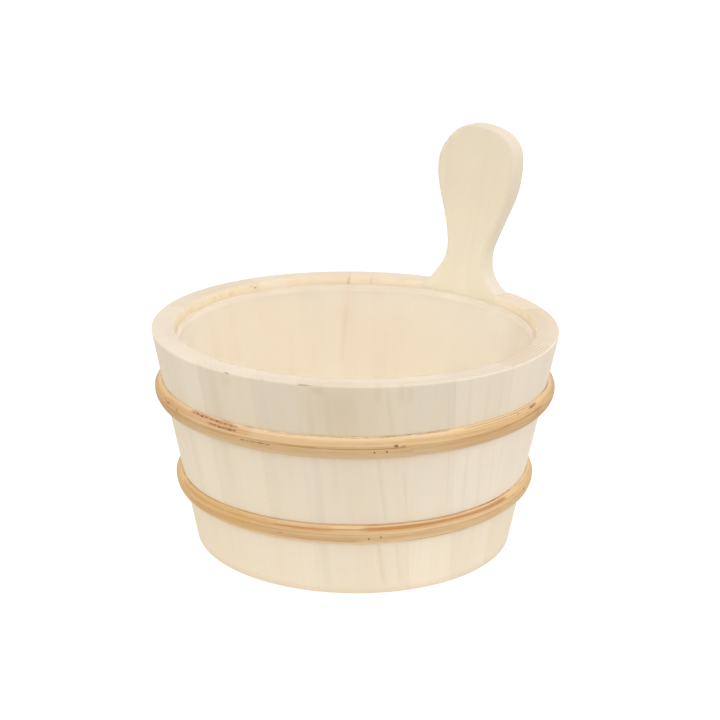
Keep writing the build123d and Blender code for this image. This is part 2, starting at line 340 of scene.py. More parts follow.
        # glue line and the faint shade beside it
        shade = net.add(net.step(near, 0.00008, 0.0006, 0.022, 0.0), net.step(near, 0.0003, 0.0030, 0.008, 0.0))
        if end is not None:
            shade = net.mul(shade, net.sub(1.0, net.mul(end, 0.5)))
        if upright:
            shade = net.mul(shade, net.step(z, PAIL_H - 0.002, PAIL_H, 1.0, 0.0))
        colour = net.mix(shade, colour, BROWN)
        if slope:
            value = net.mul(value, net.add(1.0, net.mul(net.sub(across, 0.5), slope)))
    for az, zz, hw, hh, strength, tint, face in marks:
        dx = net.m("DIVIDE", net.mul(net.sub(delta, math.radians(az - middle)), radius), hw / 1000)
        dz = net.m("DIVIDE", net.sub(z, zz / 1000), hh / 1000)
        d = net.m("SQRT", net.add(net.mul(dx, dx), net.mul(dz, dz)))
        if hw >= 8:
            spot = net.step(d, 0.0, 1.1, strength, 0.0)
        elif strength >= 0.4:
            rag = net.noise(net.turn(co, scale=(520, 520, 420)), 1.0, 3.0, 0.65)
            d = net.add(d, net.mul(net.sub(rag, 0.5), 1.6))
            spot = net.step(d, 0.20, 1.05, strength, 0.0)
        else:
            rag = net.noise(net.turn(co, scale=(260, 260, 90)), 1.0, 2.0, 0.5)
            d = net.add(d, net.mul(net.sub(rag, 0.5), 0.9))
            spot = net.step(d, 0.0, 1.15, strength, 0.0)
        where = outside if face > 0 else inside
        if face > 0 and zz > 145.5:
            where = net.step(depth, -0.0018, -0.0006)
        colour = net.mix(net.mul(spot, where), colour, tint)
    for az0, z0, az1, z1, width, strength, side, tint, face in lines:
        t = net.m("DIVIDE", net.sub(z, z0 / 1000), (z1 - z0) / 1000)
        here = net.add(math.radians(az0 - middle), net.mul(t, math.radians(az1 - az0)))
        dx = net.mul(net.sub(delta, here), radius)
        wobble = net.mul(net.sub(net.noise(net.turn(co, scale=(60, 60, 45)), 1.0, 2.0, 0.5), 0.5), 0.0016)
        dx = net.add(dx, wobble)
        if side:
            dx = net.mul(dx, float(side))
            body = net.mul(net.step(dx, -0.0005, 0.0005), net.step(dx, 0.0, width / 1000, 1.0, 0.0))
        else:
            body = net.step(net.m("ABSOLUTE", dx), 0.10 * width / 1000, 0.5 * width / 1000, 1.0, 0.0)
        window = net.mul(net.step(t, -0.18, 0.15), net.step(t, 0.85, 1.18, 1.0, 0.0))
        body = net.mul(net.mul(body, window), strength)
        colour = net.mix(net.mul(body, outside if face > 0 else inside), colour, tint)

    # tone of the whole piece; above, between and below the hoops the outside carries painted light and shade, each band
    # lighter or darker as the light falls on it
    if zone_light:
        below, between, above = [(t * (1 + 0.35 * w), t, t * (1 - w), 1.0) for t, w in zone_light]
        band_light = net.mix(net.step(z, 0.102, 0.111), net.mix(net.step(z, 0.041, 0.049), below, between), above)
        colour = net.mix(outside, colour, net.mix(1.0, colour, band_light, "MULTIPLY"))
    value = net.mul(value, tone)
    colour = net.scale_colour(colour, value)
    if warm:
        colour = net.mix(abs(warm), colour, srgb(226, 198, 150) if warm > 0 else srgb(226, 222, 210))
    if grey:
        colour = net.mix(grey, colour, srgb(208, 197, 178))

    rough = net.step(fine, 0.2, 0.8, 0.50, 0.64)
    bsdf = net.node("ShaderNodeBsdfPrincipled")
    net.put(bsdf.inputs["Base Color"], colour)
    net.put(bsdf.inputs["Roughness"], rough)
    bsdf.inputs["Specular IOR Level"].default_value = 0.32
    net.put(bsdf.inputs["Normal"], net.bump(height, 0.00012, 0.5))
    return net.finish(bsdf.outputs[0])


def clothe(node, material):
    o = cad[node]
    o.data.materials.clear()
    o.data.materials.append(material)


# small tears along the outer edge of the rim: azimuth, half width mm, depth mm
TEARS = [(176.4, 3.0, 0.22), (153.7, 5.0, 0.34), (164.0, 1.8, 0.12), (135.6, 1.4, 0.15), (129.6, 1.5, 0.15), (33.6, 2.4, 0.2),
         (225.4, 2.2, 0.25), (266.8, 2.6, 0.3), (297.2, 1.6, 0.2), (57.3, 1.6, 0.2)]
# height of the staves' ends against the plane of the rim, in mm
RIM_LIFT = [(16, 0.40), (24, 0.35), (34, 0.10), (60, 0.0), (120, 0.0), (190, 0.0), (235, 0.20), (262, 0.45), (290, 0.38), (318, 0.25), (332, 0.20),
            (341, 0.05), (350, 0.0)]


def stave_rows():
    """The wall's section as a closed loop of (radius, z) in mm, from the foot up the outside and down the inside."""
    def ro(z):
        return (BASE_R + TAPER * z / 1000) * 1000
    def ri(z):
        return ro(z) - WALL * 1000
    H = PAIL_H * 1000
    rows = [(ri(0) + 2.0, 0.0), (ro(0) - 6.0, 0.0), (ro(0) - 0.8, 0.0), (ro(0.2) - 0.2, 0.25), (ro(0.8), 0.8)]
    rows += [(ro(z), z) for z in (8, 20, 34, 50, 66, 82, 98, 112, 124, 133, 138, 141, 143, 144.4, 145.3)]
    c = (ro(H - 1.1) - 1.1, H - 1.1)
    rows += [(c[0] + 1.1 * math.cos(t), c[1] + 1.1 * math.sin(t)) for t in np.radians([8, 30, 52, 74, 90])]
    rows += [(c[0] + (ri(H) + 1.0 - c[0]) * f, H) for f in (0.08, 0.18, 0.32, 0.50, 0.68, 0.85)]
    d = (ri(H - 0.9) + 0.9, H - 0.9)
    rows += [(d[0] - 0.9 * math.sin(t), d[1] + 0.9 * math.cos(t)) for t in np.radians([0, 30, 60, 88])]
    rows += [(ri(z), z) for z in (144.5, 142, 138, 130, 112, 90, 66, 44, 26)]
    rows += [(ri(19.3), 19.3), (ri(19.3) + 4.6, 19.3), (ri(9) + 4.6, 9.0), (ri(9), 9.0), (ri(2.0), 2.0)]
    return np.array(rows)


def joint_azimuth(pair, r, z, shift):
    """Azimuth, in radians, of the points of a joint at radius r and height z (mm), shift mm to its growing side."""
    a, n, mid = joint_plane(*pair)
    phase = math.atan2(n.x, n.y)
    size = math.hypot(n.x, n.y)
    c = (n.dot(a) * 1000 - n.z * z + shift) / (r * size)
    base = phase - np.arccos(np.clip(c, -1, 1))
    return base + 2 * math.pi * np.round((mid - base) / (2 * math.pi))


def stave_object(name, first, second, shift_first, shift_second, material):
    rows = stave_rows()
    r, z = rows[:, 0], rows[:, 1]
    a0, a1 = joint_azimuth(first, r, z, shift_first), joint_azimuth(second, r, z, shift_second)
    width = math.radians(second[0] - first[0]) * 135
    n = max(6, int(round(width / 1.5)))
    t = np.linspace(0, 1, n + 1)[:, None]
    A = a0[None] * (1 - t) + a1[None] * t
    Rr, Z = np.repeat(r[None], n + 1, 0), np.repeat(z[None], n + 1, 0)
    deg = np.degrees(A)
    H = PAIL_H * 1000
    Z = Z + table_at(RIM_LIFT, deg) * np.clip((Z - (H - 12)) / 12, 0, 1)
    # tears along the outer arris
    rng = np.random.default_rng(int(first[0] * 10) + 1000)
    arris = np.hypot(Rr - 1000 * (BASE_R + TAPER * PAIL_H) + 0.3, Z - H + 0.3)
    for az, half, deep in TEARS:
        off = ((deg - az + 180) % 360 - 180) * math.pi / 180 * 135 / half
        rag = 0.6 + 0.8 * rng.random((n + 1, 1))
        cut = deep * np.exp(-off ** 2) * np.exp(-(arris / 1.6) ** 2) * rag
        Rr, Z = Rr - 0.75 * cut, Z - 0.65 * cut
    P = np.stack([Rr * np.sin(A), Rr * np.cos(A), Z], -1) / 1000
    m = len(rows)
    i, k = np.meshgrid(np.arange(n), np.arange(m), indexing="ij")
    k2 = (k + 1) % m
    faces = np.stack([i * m + k, i * m + k2, (i + 1) * m + k2, (i + 1) * m + k], -1).reshape(-1, 4).tolist()
    faces += [list(range(m))[::-1], list(range(n * m, n * m + m))]
    o = build(name, P.reshape(-1, 3).tolist(), faces, {}, material)
    bm = bmesh.new()
    bm.from_mesh(o.data)
    bmesh.ops.recalc_face_normals(bm, faces=bm.faces)
    bm.to_mesh(o.data)
    bm.free()
    o.data.shade_smooth()
    o.data.set_sharp_from_angle(angle=math.radians(50))
    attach(o, "pail")
    return o


# stave: tone, warm, grey, slope over its width, tilt of the grain, pith place, ring width, end grain gain, end tone
# (painted light on the rim's end grain), lip (strength of the painted warm bounce on the inner face)
LOOKS = {
    1: (1.00, 0.05, 0.00, 0.00, 1.5, (0.030, -0.060), 0.0030, 0.12, 1.00, (0.03, 0.34)),
    2: (1.01, 0.00, 0.03, 0.01, -1.0, (-0.045, -0.045), 0.0028, 0.80, 0.965, 0.38),
    3: (1.015, 0.02, 0.00, -0.01, 2.0, (-0.055, 0.005), 0.0026, 1.50, 0.97, 0.36),
    4: (1.01, 0.01, 0.02, 0.01, -1.5, (-0.012, -0.092), 0.0023, 2.00, 0.98, 0.26),
    5: (1.00, 0.01, 0.00, -0.016, -0.5, (-0.020, -0.090), 0.0029, 1.00, 1.005, 0.26),
    6: (1.00, 0.00, 0.02, 0.018, -1.5, (0.035, -0.055), 0.0027, 0.12, 1.025, 0.26),
    7: (0.985, 0.03, 0.00, -0.012, -7.0, (-0.055, -0.040), 0.0033, 0.12, 1.025, 0.26),
    8: (0.990, 0.03, 0.00, -0.020, -2.0, (0.020, -0.050), 0.0029, 0.12, 1.04, 0.26),
    9: (0.995, 0.01, 0.02, -0.018, -1.5, (-0.030, -0.065), 0.0030, 0.12, 1.055, 0.26),
    10: (1.005, 0.04, 0.00, 0.00, -1.0, (0.045, -0.050), 0.0027, 0.12, 1.02, 0.26),
    11: (1.01, 0.06, 0.00, -0.01, -1.0, (-0.015, -0.060), 0.0032, 0.12, 0.97, 0.26),
    12: (1.00, 0.06, 0.00, 0.01, 1.5, (0.030, -0.040), 0.0026, 0.12, 1.015, 0.26),
    13: (1.00, 0.03, 0.00, -0.02, -2.0, (-0.050, -0.050), 0.0031, 0.12, 0.965, 0.26),
    14: (0.985, 0.06, 0.00, 0.02, 1.0, (0.020, -0.070), 0.0028, 0.15, 0.96, 0.25),
    15: (1.01, 0.00, 0.03, 0.00, -1.0, (0.040, -0.045), 0.0033, 0.15, 1.005, 0.12),
    16: (0.99, 0.03, 0.00, -0.02, 2.0, (-0.025, -0.060), 0.0029, 0.15, 1.015, 0.24),
    17: (1.00, 0.07, 0.00, 0.00, 1.0, (0.015, -0.050), 0.0027, 0.15, 1.03, 0.20),
    18: (1.00, 0.02, 0.00, 0.02, -1.0, (-0.035, -0.055), 0.0030, 0.15, 1.05, (0.18, 0.03)),
}
END_TINTS = {1: WARM_RIM, 2: (0.945, 0.905, 0.855, 1), 3: (0.955, 0.94, 0.945, 1), 4: (0.955, 0.92, 0.92, 1), 8: (0.955, 0.95, 0.99, 1),
             13: WARM_RIM, 14: WARM_RIM, 15: WARM_RIM, 16: WARM_RIM, 17: WARM_RIM, 18: WARM_RIM}
# painted light and shade: tone and warmth of the outside below, between and above the hoops
ZONE_LIGHT = {
    2: ((0.90, 0.03), (1.03, -0.03), (1.05, -0.03)),
    3: ((0.93, 0.02), (1.07, -0.05), (1.06, -0.04)),
    4: ((0.955, 0.025), (1.05, -0.03), (1.035, -0.02)),
    5: ((0.985, 0.00), (1.045, -0.04), (0.99, -0.01)),
    6: ((1.03, 0.00), (1.01, 0.00), (0.935, 0.02)),
    7: ((1.02, 0.00), (1.01, 0.00), (0.960, 0.02)),
    8: ((1.02, 0.02), (1.01, 0.02), (0.94, 0.01)),
    9: ((1.00, 0.03), (1.01, 0.02), (0.955, 0.03)),
    10: ((0.97, 0.04), (1.03, 0.01), (1.01, 0.00)),
    11: ((0.97, 0.05), (1.03, 0.02), (1.03, 0.01)),
}
RUST = srgb(152, 96, 42)
AMBER = srgb(206, 160, 98)
UMBER = srgb(112, 74, 42)
DUSK = srgb(204, 180, 146)
MARKS = {
    9: [(176.4, 146.2, 3.2, 0.8, 0.50, RUST, 1), (177.0, 141.5, 6.0, 6.0, 0.12, AMBER, 1), (168.6, 59.9, 0.5, 0.5, 0.5, UMBER, 1), (175.8, 5.0, 0.5, 0.5, 0.5, UMBER, 1)],
    # painted shade: the large soft patches high on the outside of staves 8 and 7 (half widths 16 and 36 mm) darken the
    # upper band
    8: [(165.5, 146.2, 1.8, 0.8, 0.20, RUST, 1), (160.0, 132.0, 16.0, 30.0, 0.16, MILD, 1)],
    7: [(154.4, 146.2, 6.4, 0.75, 0.52, RUST, 1), (151.0, 143.6, 6.0, 4.0, 0.18, AMBER, 1),
        (135.6, 143.0, 3.2, 10.0, 0.15, AMBER, 1), (129.6, 141.0, 3.2, 13.0, 0.15, AMBER, 1),
        (145.0, 130.0, 36.0, 28.0, 0.42, srgb(220, 200, 166), 1)],
    6: [(127.4, 141.0, 2.6, 10.0, 0.10, AMBER, 1)],
    1: [(34.6, 143.6, 2.6, 2.6, 0.38, AMBER, -1), (38.0, 143.6, 8.0, 4.0, 0.16, AMBER, -1)],
    2: [(42.0, 143.0, 9.0, 5.0, 0.10, AMBER, -1)],
    14: [(273.4, 143.6, 4.6, 2.2, 0.34, AMBER, -1), (283.9, 144.2, 1.2, 0.9, 0.55, RUST, -1), (282.5, 145.4, 1.6, 0.5, 0.45, RUST, -1),
         (268.5, 144.0, 2.0, 3.0, 0.20, AMBER, -1)],
    13: [(265.0, 143.8, 3.6, 2.0, 0.28, AMBER, -1), (258.0, 143.4, 3.4, 1.8, 0.18, AMBER, -1), (250.0, 143.4, 6.0, 2.4, 0.14, AMBER, -1)],
}
LINES = {
    7: [(133.9, 143.0, 131.6, 116.0, 4.6, 0.15, -1, TAN, 1), (135.3, 97.3, 132.3, 54.5, 4.4, 0.18, -1, TAN, 1),
        (128.0, 87.3, 125.1, 55.3, 4.2, 0.12, -1, TAN, 1), (134.4, 36.4, 131.9, 8.5, 4.6, 0.30, -1, TAN, 1),
        (128.3, 35.5, 125.9, 7.3, 3.8, 0.20, -1, TAN, 1), (153.5, 140.0, 150.0, 10.0, 8.0, 0.12, 0, DUSK, 1),
        (149.0, 140.0, 146.0, 70.0, 6.0, 0.08, 0, DUSK, 1), (140.5, 144.0, 137.0, 60.0, 8.0, 0.18, 0, COOL, 1),
        (143.5, 60.0, 141.0, 6.0, 7.0, 0.16, 0, COOL, 1)],
    8: [(158.0, 140.0, 156.0, 10.0, 7.0, 0.18, 0, COOL, 1), (166.0, 140.0, 163.8, 60.0, 7.0, 0.14, 0, srgb(222, 211, 198), 1)],
    9: [(182.0, 142.0, 180.5, 70.0, 10.0, 0.10, 0, DUSK, 1), (172.0, 140.0, 170.5, 10.0, 9.0, 0.16, 0, COOL, 1)],
    10: [(192.5, 142.0, 190.5, 60.0, 8.0, 0.28, 0, COOL, 1), (200.0, 142.0, 197.0, 40.0, 9.0, 0.10, 0, DUSK, 1)],
    6: [(117.0, 142.0, 112.0, 60.0, 2.6, 0.10, 0, DUSK, 1), (124.5, 142.0, 119.0, 60.0, 10.0, 0.20, 0, COOL, 1),
        (119.5, 60.0, 116.0, 5.0, 8.0, 0.18, 0, COOL, 1)],
    5: [(110.5, 142.0, 105.0, 40.0, 4.0, 0.10, 0, DUSK, 1), (104.5, 142.0, 99.0, 30.0, 5.0, 0.08, 0, DUSK, 1),
        (99.5, 142.0, 95.0, 60.0, 4.0, 0.08, 0, DUSK, 1)],
    14: [(285.2, 145.8, 284.0, 143.0, 0.7, 0.30, 0, RUST, -1)],
    16: [(319.2, 146.0, 318.0, 134.0, 1.6, 0.30, 0, srgb(150, 96, 58), -1),
         (318.6, 140.0, 316.0, 88.0, 4.2, 0.46, 0, srgb(190, 138, 104), -1), (305.4, 100.0, 304.9, 80.0, 3.4, 0.34, 0, srgb(196, 150, 112), -1), (308.0, 120.0, 306.5, 60.0, 6.0, 0.24, 0, DUSK, -1)],
    15: [(291.0, 130.0, 289.0, 60.0, 7.0, 0.30, 0, DUSK, -1), (296.6, 146.0, 296.2, 139.0, 1.0, 0.08, 0, RUST, -1)],
    17: [(327.0, 146.0, 326.7, 139.5, 1.0, 0.26, 0, RUST, -1), (324.0, 130.0, 323.0, 70.0, 5.0, 0.25, 0, DUSK, -1)],
    18: [(336.0, 125.0, 335.0, 55.0, 5.0, 0.26, 0, DUSK, -1)],
}

for i in range(1, 19):
    tone, warm, grey, slope, tilt, pith, ring, end_gain, end_painted_light, lip = LOOKS[i]
    first, second = JOINTS[i], JOINTS[i + 1]
    if second[0] < first[0]:
        second = (second[0] + 360, second[1] + 360)
    middle = (first[0] + first[1] + second[0] + second[1]) / 4
    look = wood("wood_%02d" % i, middle, (first, second), tone, warm, grey, slope, tilt, pith, seed=i * 1.37,
                marks=MARKS.get(i, ()), lines=LINES.get(i, ()), ring=ring, end_gain=end_gain, end_painted_light=end_painted_light, lip=lip, zone_light=ZONE_LIGHT.get(i),
                end_tint=END_TINTS.get(i, RIM_TINT))
    # joints are pressed tight: the staves all but touch
    stave = stave_object("stave_%02d_wood" % i, first, second, -0.018 if i == 1 else 0.004, 0.018 if i == 18 else -0.004, look)
    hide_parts("stave_%02d" % i)
clothe("handle_stave", wood("wood_grip", 0.0, (JOINTS[0], JOINTS[1]), 0.985, 0.08, 0.0, 0.0, -0.3, (0.015, -0.055),
                            seed=3.1, ring=0.0036, ring_gain=0.6, end_gain=0.15, lip=0.05, calm=0.70, upright=True, end_tint=(1.045, 1.02, 1.075, 1),
                            lines=[(-10.5, 255.0, -9.0, 170.0, 5.0, 0.06, 0, DUSK, -1), (3.0, 250.0, 2.5, 150.0, 6.0, 0.05, 0, DUSK, -1),
                                   (8.0, 240.0, 6.0, 190.0, 4.0, 0.05, 0, TAN, -1)]))
for k, n in enumerate(("bottom_board_left", "bottom_board_middle", "bottom_board_right")):
    clothe(n, wood("wood_board_%d" % (k + 1), 0.0, None, 0.97 - 0.02 * k, 0.25, 0.0, 0.0, 0.0, (0.02 * k, -0.03),
                   seed=21.0 + 2.3 * k, ring=0.0034, ring_gain=1.8, boards=True))

# ------------------------------------------------------------------ hoops
FACE_LOW = [(0.0, 0.0), (0.012, 0.26), (0.05, 0.50), (0.13, 0.745), (0.25, 0.90), (0.38, 0.975), (0.50, 1.0), (0.60, 0.985)]
CREASE = (0.69, 0.935)
FACE_HIGH = [(0.755, 0.83), (0.82, 0.67), (0.89, 0.465), (0.95, 0.26), (0.985, 0.10), (1.0, 0.0)]
CLEAR = 0.08


def curve_through(pts, count):
    """Points along a smooth line through pts."""
    p = np.array(pts, float)
    d = np.r_[0, np.cumsum(np.hypot(*np.diff(p, axis=0).T))]
    t = np.gradient(p, d, axis=0)
    out = []
    for s in np.linspace(0, d[-1], count):
        i = min(max(np.searchsorted(d, s, side="right") - 1, 0), len(d) - 2)
        h = d[i + 1] - d[i]
        u = (s - d[i]) / h
        h00, h10, h01, h11 = 2*u**3 - 3*u**2 + 1, u**3 - 2*u**2 + u, -2*u**3 + 3*u**2, u**3 - u**2
        out.append(h00 * p[i] + h10 * h * t[i] + h01 * p[i + 1] + h11 * h * t[i + 1])
    return np.array(out)


def ring_noise(rng, around, across, cells_around, cells_across):
    """Smooth value noise, -1 to 1, periodic in around (0 to 1)."""
    grid = rng.uniform(-1, 1, (cells_around, cells_across + 3))
    fa = (np.asarray(around) % 1.0) * cells_around
    fb = np.clip(np.asarray(across), 0, 1) * cells_across
    ia, ib = np.floor(fa).astype(int), np.floor(fb).astype(int)
    ta, tb = fa - ia, fb - ib
    ta, tb = ta * ta * (3 - 2 * ta), tb * tb * (3 - 2 * tb)
    a0, a1 = ia % cells_around, (ia + 1) % cells_around
    v0 = grid[a0, ib] * (1 - ta) + grid[a1, ib] * ta
    v1 = grid[a0, ib + 1] * (1 - ta) + grid[a1, ib + 1] * ta
    return v0 * (1 - tb) + v1 * tb


def fibres(rng, around, across, cells):
    """Long ridges: fine ones on coarser ones, in mm."""
    out = 0.060 * ring_noise(rng, around, across, int(cells * 0.30), 13)
    out += 0.050 * ring_noise(rng, around, across, int(cells * 0.55), 24)
    out += 0.030 * ring_noise(rng, around, across, cells, 40)
    return out


def off_wall(deg, z_foot, u, v):
    """Points at height u along the wall from z_foot and v off it, in mm in and metres out."""
    a = np.radians(deg)
    r = (BASE_R * 1000 + TAPER * z_foot) + u * SL + v * CL
    z = z_foot + u * CL - v * SL
    return np.stack([r * np.sin(a), r * np.cos(a), z], -1) / 1000


def hoop_object(name, z_foot, w, v, rise, swell, lap, seed, splits, material):
    rng = np.random.default_rng(seed)
    low = curve_through(FACE_LOW + [CREASE], 25)
    high = curve_through([CREASE] + FACE_HIGH, 17)
    face = np.vstack([low, high[1:]])
    count, m = 720, len(face)
    deg = np.arange(count) * 360.0 / count
    D, K = np.meshgrid(deg, np.arange(m), indexing="ij")
    U, V = face[K, 0], face[K, 1]
    s = K / (m - 1.0)
    W = w * (1 + table_at(swell, D))
    T = v * (1 + 1.2 * table_at(swell, D))
    zf = z_foot + table_at(rise, D)
    lift = fibres(rng, D / 360, s, 36)
    # the crease wanders a little, and both edges are slightly uneven
    shift = 0.020 * ring_noise(rng, D / 360, s * 0, 22, 1) * np.sin(np.pi * U)
    edge = 0.14 * ring_noise(rng, D / 360, s * 0, 70, 1) * np.clip((U - 0.8) / 0.2, 0, 1)
    edge -= 0.14 * ring_noise(rng, D / 360, s * 0, 80, 1) * np.clip((0.2 - U) / 0.2, 0, 1)
    fade = np.clip(V * 4, 0, 1)
    for d0, d1, u0, u1, depth, half in splits:
        t = ((D - d0) % 360) / ((d1 - d0) % 360)
        window = np.clip(np.minimum(t, 1 - t) * 9, 0, 1) * (t <= 1)
        lift = lift - depth * window * np.exp(-(((U - (u0 + (u1 - u0) * t)) * W / half) ** 2))
    P = off_wall(D, zf, (U + shift) * W + edge, np.maximum(V * T + lift * fade, 0.0) + CLEAR)
    back = 4
    B = []
    for q in range(1, back + 1):
        f = 1 - q / (back + 1)
        B.append(off_wall(deg, z_foot + table_at(rise, deg), f * w * (1 + table_at(swell, deg)), CLEAR + 0 * deg))
    P = np.concatenate([P, np.stack(B, 1)], 1)
    n = m + back
    pts = P.reshape(-1, 3)
    i, k = np.meshgrid(np.arange(count), np.arange(n), indexing="ij")
    i2, k2 = (i + 1) % count, (k + 1) % n
    faces = np.stack([i * n + k, i2 * n + k, i2 * n + k2, i * n + k2], -1).reshape(-1, 4)
    hu = np.concatenate([U + shift, np.zeros((count, back))], 1).reshape(-1)
    part = np.zeros(len(pts))

    # the outer lap: the lower half of the strip, rising out of it and ending square
    first, last, proud = lap
    steps = int(abs(last - first) * 3)
    t = np.linspace(0, 1, steps + 1)
    ld = first + (last - first) * t
    grow = -0.55 + (proud + 0.55) * np.minimum(1.0, t / 0.45) ** 0.8
    lm = len(low)
    D2, K2 = np.meshgrid(ld, np.arange(lm), indexing="ij")
    G = np.repeat(grow[:, None], lm, 1)
    U2, V2 = low[K2, 0], low[K2, 1]
    zf2 = z_foot + table_at(rise, D2) - 0.9 * G
    lift2 = fibres(rng, D2 / 360, K2 / (lm - 1.0), 36) * 0.9
    # the square end is rounded over by use
    over = np.clip((np.abs(D2 - last) * math.radians(1) * 125) / 6.0, 0, 1)
    G2 = G - 0.16 * (1 - over) ** 2
    Q = off_wall(D2, zf2, U2 * w, np.maximum(V2 * v + G2 + lift2 * np.clip(V2 * 4, 0, 1), 0.0) + CLEAR)
    top_u = low[-1, 0] * w + 0.2
    T1 = off_wall(ld, zf2[:, 0], top_u + 0 * ld, np.maximum(0.6 * v + grow, CLEAR) + 0 * ld)
    T2 = off_wall(ld, zf2[:, 0], top_u + 0 * ld, CLEAR + 0.02 + 0 * ld)
    Q = np.concatenate([Q, T1[:, None], T2[:, None]], 1)
    n2 = lm + 2
    off = len(pts)
    i, k = np.meshgrid(np.arange(steps), np.arange(n2), indexing="ij")
    k2 = (k + 1) % n2
    more = np.stack([i * n2 + k, i * n2 + k2, (i + 1) * n2 + k2, (i + 1) * n2 + k], -1).reshape(-1, 4) + off
    cap = [list(range(off + steps * n2, off + steps * n2 + n2)), list(range(off, off + n2))[::-1]]
    pts = np.concatenate([pts, Q.reshape(-1, 3)])
    hu = np.concatenate([hu, np.concatenate([U2, np.full((steps + 1, 2), low[-1, 0])], 1).reshape(-1)])
    part = np.concatenate([part, np.ones(Q.shape[0] * n2)])
    all_faces = faces[:, ::-1].tolist() + more[:, ::-1].tolist() + [c[::-1] for c in cap]
    o = build(name, pts.tolist(), all_faces, {"hu": hu, "part": part}, material)
    o.data.shade_smooth()
    return o


AMBER_LIGHT = srgb(236, 205, 157)
AMBER_PAINTED_LIT = srgb(227, 190, 139)
AMBER_PAINTED_SHADE = srgb(216, 180, 131)
AMBER_DARK = srgb(188, 140, 78)
ORANGE = srgb(182, 112, 36)
BARK = srgb(132, 72, 18)
BLACKISH = srgb(70, 42, 22)
DARK_BARK = srgb(112, 58, 10)


